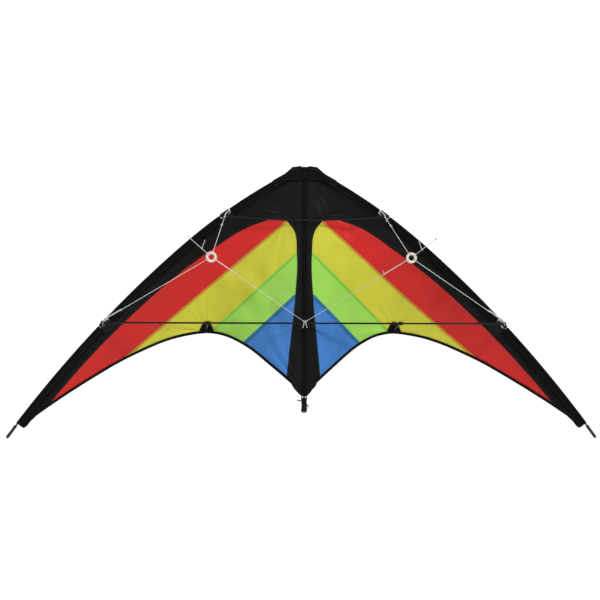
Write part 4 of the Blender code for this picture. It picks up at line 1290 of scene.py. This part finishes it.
def build_tip(side):
    """Tip cap, the tension line along it, and the tab on the sail's end."""
    label = side_name(side)
    direction = edge_direction(leading_edge, 1.0)
    along = world((direction[0], 0.0, direction[1]), side)
    end = world((ROD_TIP[0], SPAR_Y, ROD_TIP[1]), side) + along * TIP_CAP_NOSE
    build_tip_cap(label, end, along)
    line_r = 0.0006
    lift = TIP_CAP_R + 2.1 * line_r
    reach = TIP_CAP_DEPTH + 0.0020
    points = [end - along * reach * (1 - i / 10) + FRONT * lift for i in range(10)]
    points += [circle(end, FRONT * lift, along * 0.0010, 1.0, math.pi * step / 12) for step in range(13)]
    points += [end - along * reach * i / 10 - FRONT * lift for i in range(1, 11)]
    strand = tube(f"{label}_tip_line", points, line_r, around=10)
    finish(strand, f"{label}_wing", "bridle_line", tip_line_look, replaces=(f"{label}_tension_line",))
    knot_at = end - along * (reach - 0.002) + FRONT * (lift + 0.0004)
    knot = barrel_knot(f"{label}_tip_knot", knot_at, along, line_r, turns=2)
    finish(knot, f"{label}_wing", "bridle_line", tip_line_look)
    build_tip_tab(side)


def build_tip_tab(side):
    """Doubled webbing over the sail's outer end, with a rounded lower corner."""
    inner = np.array(SAIL_TIP) + np.array([-0.012, 0.008])
    corner = np.array(SAIL_TIP) + np.array([0.0150, -0.0170])
    round_from = 0.72
    grid = []
    for c in np.linspace(0.0, 1.0, 22):
        low = inner + (corner - inner) * c
        edge_t = solve(lambda t: leading_edge(t)[0], low[0] + 0.012)
        rod = np.array(beside(leading_edge, min(edge_t, SLEEVE_END_T), -SLEEVE_R * 0.9))
        bend = max(0.0, (c - round_from) / (1.0 - round_from))
        lift = 0.42 * (1.0 - math.sqrt(1.0 - bend * bend))
        grid.append([low + (rod - low) * (lift + (1 - lift) * r) for r in np.linspace(0.0, 1.0, 9)])
    grid = np.array(grid)
    y = sail_y(np.minimum(grid[..., 0], SAIL_TIP[0] - 0.002), grid[..., 1], side)
    points = np.stack([side * grid[..., 0], y, grid[..., 1]], axis=-1)
    finish(sheet_mesh(f"{side_name(side)}_tip_tab", points, 0.0030, grid), f"{side_name(side)}_wing",
           "black_webbing")


def build_standoff_patch(side):
    """Rounded webbing patch where the standoff bears on the sail."""
    label = side_name(side)
    bottom = -0.0230
    top = 0.0030
    bottom_half_w = 0.0172
    grid = []
    for u in (2 * i / 26 - 1 for i in range(27)):
        grid.append([(STANDOFF_X - 0.0010 + (bottom_half_w - 0.0072 * v ** 1.5) * u,
                      bottom + (top - bottom) * v * (1 - 0.30 * abs(u) ** 3))
                     for v in (j / 18 for j in range(19))])
    grid = np.array(grid)
    sewn(f"{label}_standoff_webbing", grid, side, PATCH_LIFT, WEBBING_T, "black_webbing",
         replaces=(f"{label}_standoff_patch",))
    inset = grid[2:-2, 2:-2]
    outline = np.concatenate([inset[0], inset[1:, -1], inset[-1, ::-1][1:], inset[::-1, 0][1:]])
    stitches_on_sail(f"{label}_standoff_stitches", outline, side, PATCH_LIFT + WEBBING_T / 2, "black_webbing",
                     pitch=0.0026)


def build_ties(side):
    """Cord wrapped round the spars where each bridle leg is tied."""
    label = side_name(side)

    def piece(obj, body=f"{label}_wing"):
        finish(obj, body, "bridle_line")

    for place, tie, t in (("upper", UPPER_TIE, UPPER_T), ("lower", LOWER_TIE, LOWER_T)):
        name = f"{label}_{place}_tie"
        direction = edge_direction(leading_edge, t)
        along = np.array([direction[0], 0.0, direction[1]])
        cross = np.cross(along, FRONT)
        tie_at = np.array(tie)
        piece(barrel_knot(f"{name}_knot", world(tie_at, side), world(along, side), BRIDLE_R,
                          turns=2, core=1.3))
        x, z = leading_edge(t)
        centre = np.array([x, SPAR_Y, z])
        reach = 0.0135
        route = [tie_at, centre + FRONT * (SPAR_Y - CORD_Y),
                 centre - along * reach * 0.5 + FRONT * (BARREL_R + 0.004),
                 centre - along * reach + FRONT * (BARREL_R + BRIDLE_R)]
        for index, off in enumerate((-TIE_LINE_R, TIE_LINE_R)):
            path = bezier_run([corner + cross * off for corner in route], 16)
            piece(tube(f"{name}_strand_{index}", [world(p, side) for p in path], TIE_LINE_R))
        helix = [world(circle(centre - along * (reach - 2.1 * TIE_LINE_R * turn), FRONT, cross,
                              ROD_R + TIE_LINE_R, 2 * math.pi * turn), side)
                 for turn in (i / 16 for i in range(33))]
        piece(tube(f"{name}_wrap", helix, TIE_LINE_R, around=8))
        bends = [(side * 0.002, -0.002, -0.004), (side * 0.001, -0.001, -0.006)]
        piece(tag_end(f"{name}_tag", world(tie_at, side), bends, TIE_LINE_R))
    bends = [(side * -0.001, -0.001, -0.005), (side * 0.004, -0.001, -0.009)]
    centre_at = world(CENTRE_TIE, side)
    piece(tag_end(f"{label}_centre_tie_tag", centre_at, bends, BRIDLE_R), "centre")
    piece(barrel_knot(f"{label}_centre_tie_knot", centre_at, (side * 0.4, -0.3, 0.3), BRIDLE_R, turns=2),
          "centre")


def build_ring(side):
    """Smooth moulded tow ring."""
    label = side_name(side)
    around = 72
    section = 28
    points = []
    for turn in (2 * math.pi * i / around for i in range(around)):
        radial = np.array([math.cos(turn), 0.0, math.sin(turn)])
        for lean in (2 * math.pi * j / section for j in range(section)):
            flat = RING_TUBE_R * (1.0 + 0.05 * math.cos(4 * lean))
            points.append(circle(world(RING_CENTRE, side) + radial * RING_MAJOR, radial, -FRONT, flat, lean))
    corner_uvs = loop_uvs([i * 0.0008 for i in range(around + 1)], [j * 0.0007 for j in range(section + 1)])
    ring = make_mesh(f"{label}_tow_ring", points, loop_faces(around, section, wrap=True), corner_uvs)
    finish(ring, f"{label}_bridle", "tow_ring", replaces=(f"{label}_bridle_ring",))


def straight_rod(node, body):
    """Smooth round rod in the place of a straight rod of the frame."""
    solid = frame["nodes"][node]
    corners = np.array([tuple(solid.matrix_world @ v.co) for v in solid.data.vertices])
    centre = (corners.min(axis=0) + corners.max(axis=0)) / 2
    _, _, axes = np.linalg.svd(corners - centre, full_matrices=False)
    along = (corners - centre) @ axes[0]
    radius = float(np.linalg.norm((corners - centre) - along[:, None] * axes[0], axis=1).max())
    path = run(centre + axes[0] * along.min(), centre + axes[0] * along.max(), 12)
    rod = tube(f"{node}_round", path, radius, around=28, round_ends=False)
    finish(rod, body, "glassfibre_rod", replaces=(node,))


def build_rods(side):
    label = side_name(side)
    straight_rod(f"{label}_lower_spreader", f"{label}_wing")
    straight_rod(f"{label}_standoff_rod", f"{label}_standoff")
    low, high = (np.array(corner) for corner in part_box(f"{label}_leading_edge_rod"))
    reach = sorted(abs(value) for value in (low[0], high[0]))
    path = [world((x, SPAR_Y, z), side) for x, z in map(leading_edge, np.linspace(0.0, 1.0, 161))
            if reach[0] <= x <= reach[1]]
    rod = tube(f"{label}_leading_edge_rod_round", path, ROD_R, around=24, round_ends=False)
    finish(rod, f"{label}_wing", "glassfibre_rod", replaces=(f"{label}_leading_edge_rod",))


def build_upper_spreader():
    """Upper spreader, bowed upwards at both ends."""
    low, high = (np.array(corner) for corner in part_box("upper_spreader"))
    path = [(x, SPREADER_Y, UPPER_SPREADER_Z + UPPER_SPREADER_RISE * (x / 0.170) ** 2)
            for x in np.linspace(low[0], high[0], 61)]
    rod = tube("upper_spreader_round", path, UPPER_ROD_R, around=24, round_ends=False)
    finish(rod, "right_wing", "glassfibre_rod", replaces=("upper_spreader",))


straight_rod("spine_rod", "centre")
build_upper_spreader()
for wing_side in (-1, 1):
    build_rods(wing_side)
    build_tip(wing_side)
    build_standoff_patch(wing_side)
    build_ties(wing_side)
    build_ring(wing_side)

# ---- materials of the frame's own parts ----------------------------------------------
slot_of = {part["node"]: part["material_slot"] for part in frame["record"]["subparts"]}
for node, obj in frame["nodes"].items():
    for material_slot in obj.material_slots:
        material_slot.material = materials[slot_of[node]]


# ---- stage and light -----------------------------------------------------------------
def build_stage():
    """Round pale floor well below the kite."""
    radius = 7.0
    floor_z = -1.70
    count = 96
    turns = [2 * math.pi * i / count for i in range(count)]
    points = [(0.0, 0.0, floor_z)] + [(radius * math.cos(turn), radius * math.sin(turn), floor_z)
                                      for turn in turns]
    faces = [(0, 1 + i, 1 + (i + 1) % count) for i in range(count)]
    floor = make_mesh("floor", points, faces, flat_uvs(points, faces, (0, 1)))
    pale = Paint("floor_paint", (0.90, 0.90, 0.90), 0.7)
    cloud = pale.noise(1.5)
    pale.base(pale.mix_colour(cloud, (0.89, 0.89, 0.89), (0.92, 0.92, 0.92)))
    floor.data.materials.append(pale.material)


def area_light(name, location, target, size, power):
    data = bpy.data.lights.new(name, "AREA")
    data.shape = "DISK"
    data.size = size
    data.energy = power
    lamp = bpy.data.objects.new(name, data)
    bpy.context.scene.collection.objects.link(lamp)
    lamp.location = location
    lamp.rotation_euler = (Vector(target) - Vector(location)).to_track_quat("-Z", "Y").to_euler()


def build_light():
    """White studio behind the kite, dimmer in front, with a soft key from the upper right."""
    studio = bpy.data.worlds.new("studio")
    studio.use_nodes = True
    tree = studio.node_tree
    background = tree.nodes["Background"]
    place = tree.nodes.new("ShaderNodeTexCoord")
    split = tree.nodes.new("ShaderNodeSeparateXYZ")
    fade = tree.nodes.new("ShaderNodeMapRange")
    fade.interpolation_type = "SMOOTHSTEP"
    fade.inputs["From Min"].default_value = -0.25
    fade.inputs["From Max"].default_value = 0.75
    fade.inputs["To Min"].default_value = FRONT_LIGHT
    fade.inputs["To Max"].default_value = 1.05
    tree.links.new(place.outputs["Generated"], split.inputs[0])
    tree.links.new(split.outputs[1], fade.inputs["Value"])
    tree.links.new(fade.outputs[0], background.inputs["Strength"])
    background.inputs["Color"].default_value = (1.0, 1.0, 1.0, 1.0)
    bpy.context.scene.world = studio
    area_light("key", (2.0, -3.3, 2.6), (0.0, 0.0, 0.0), 0.8, 165.0)
    area_light("fill", (-3.0, -3.2, 0.8), (0.0, 0.0, 0.0), 1.8, 62.0)
    area_light("rim", (0.6, 3.2, 2.4), (0.0, 0.0, 0.0), 2.0, 30.0)
    bpy.context.scene.view_settings.view_transform = "Standard"


build_stage()
build_light()
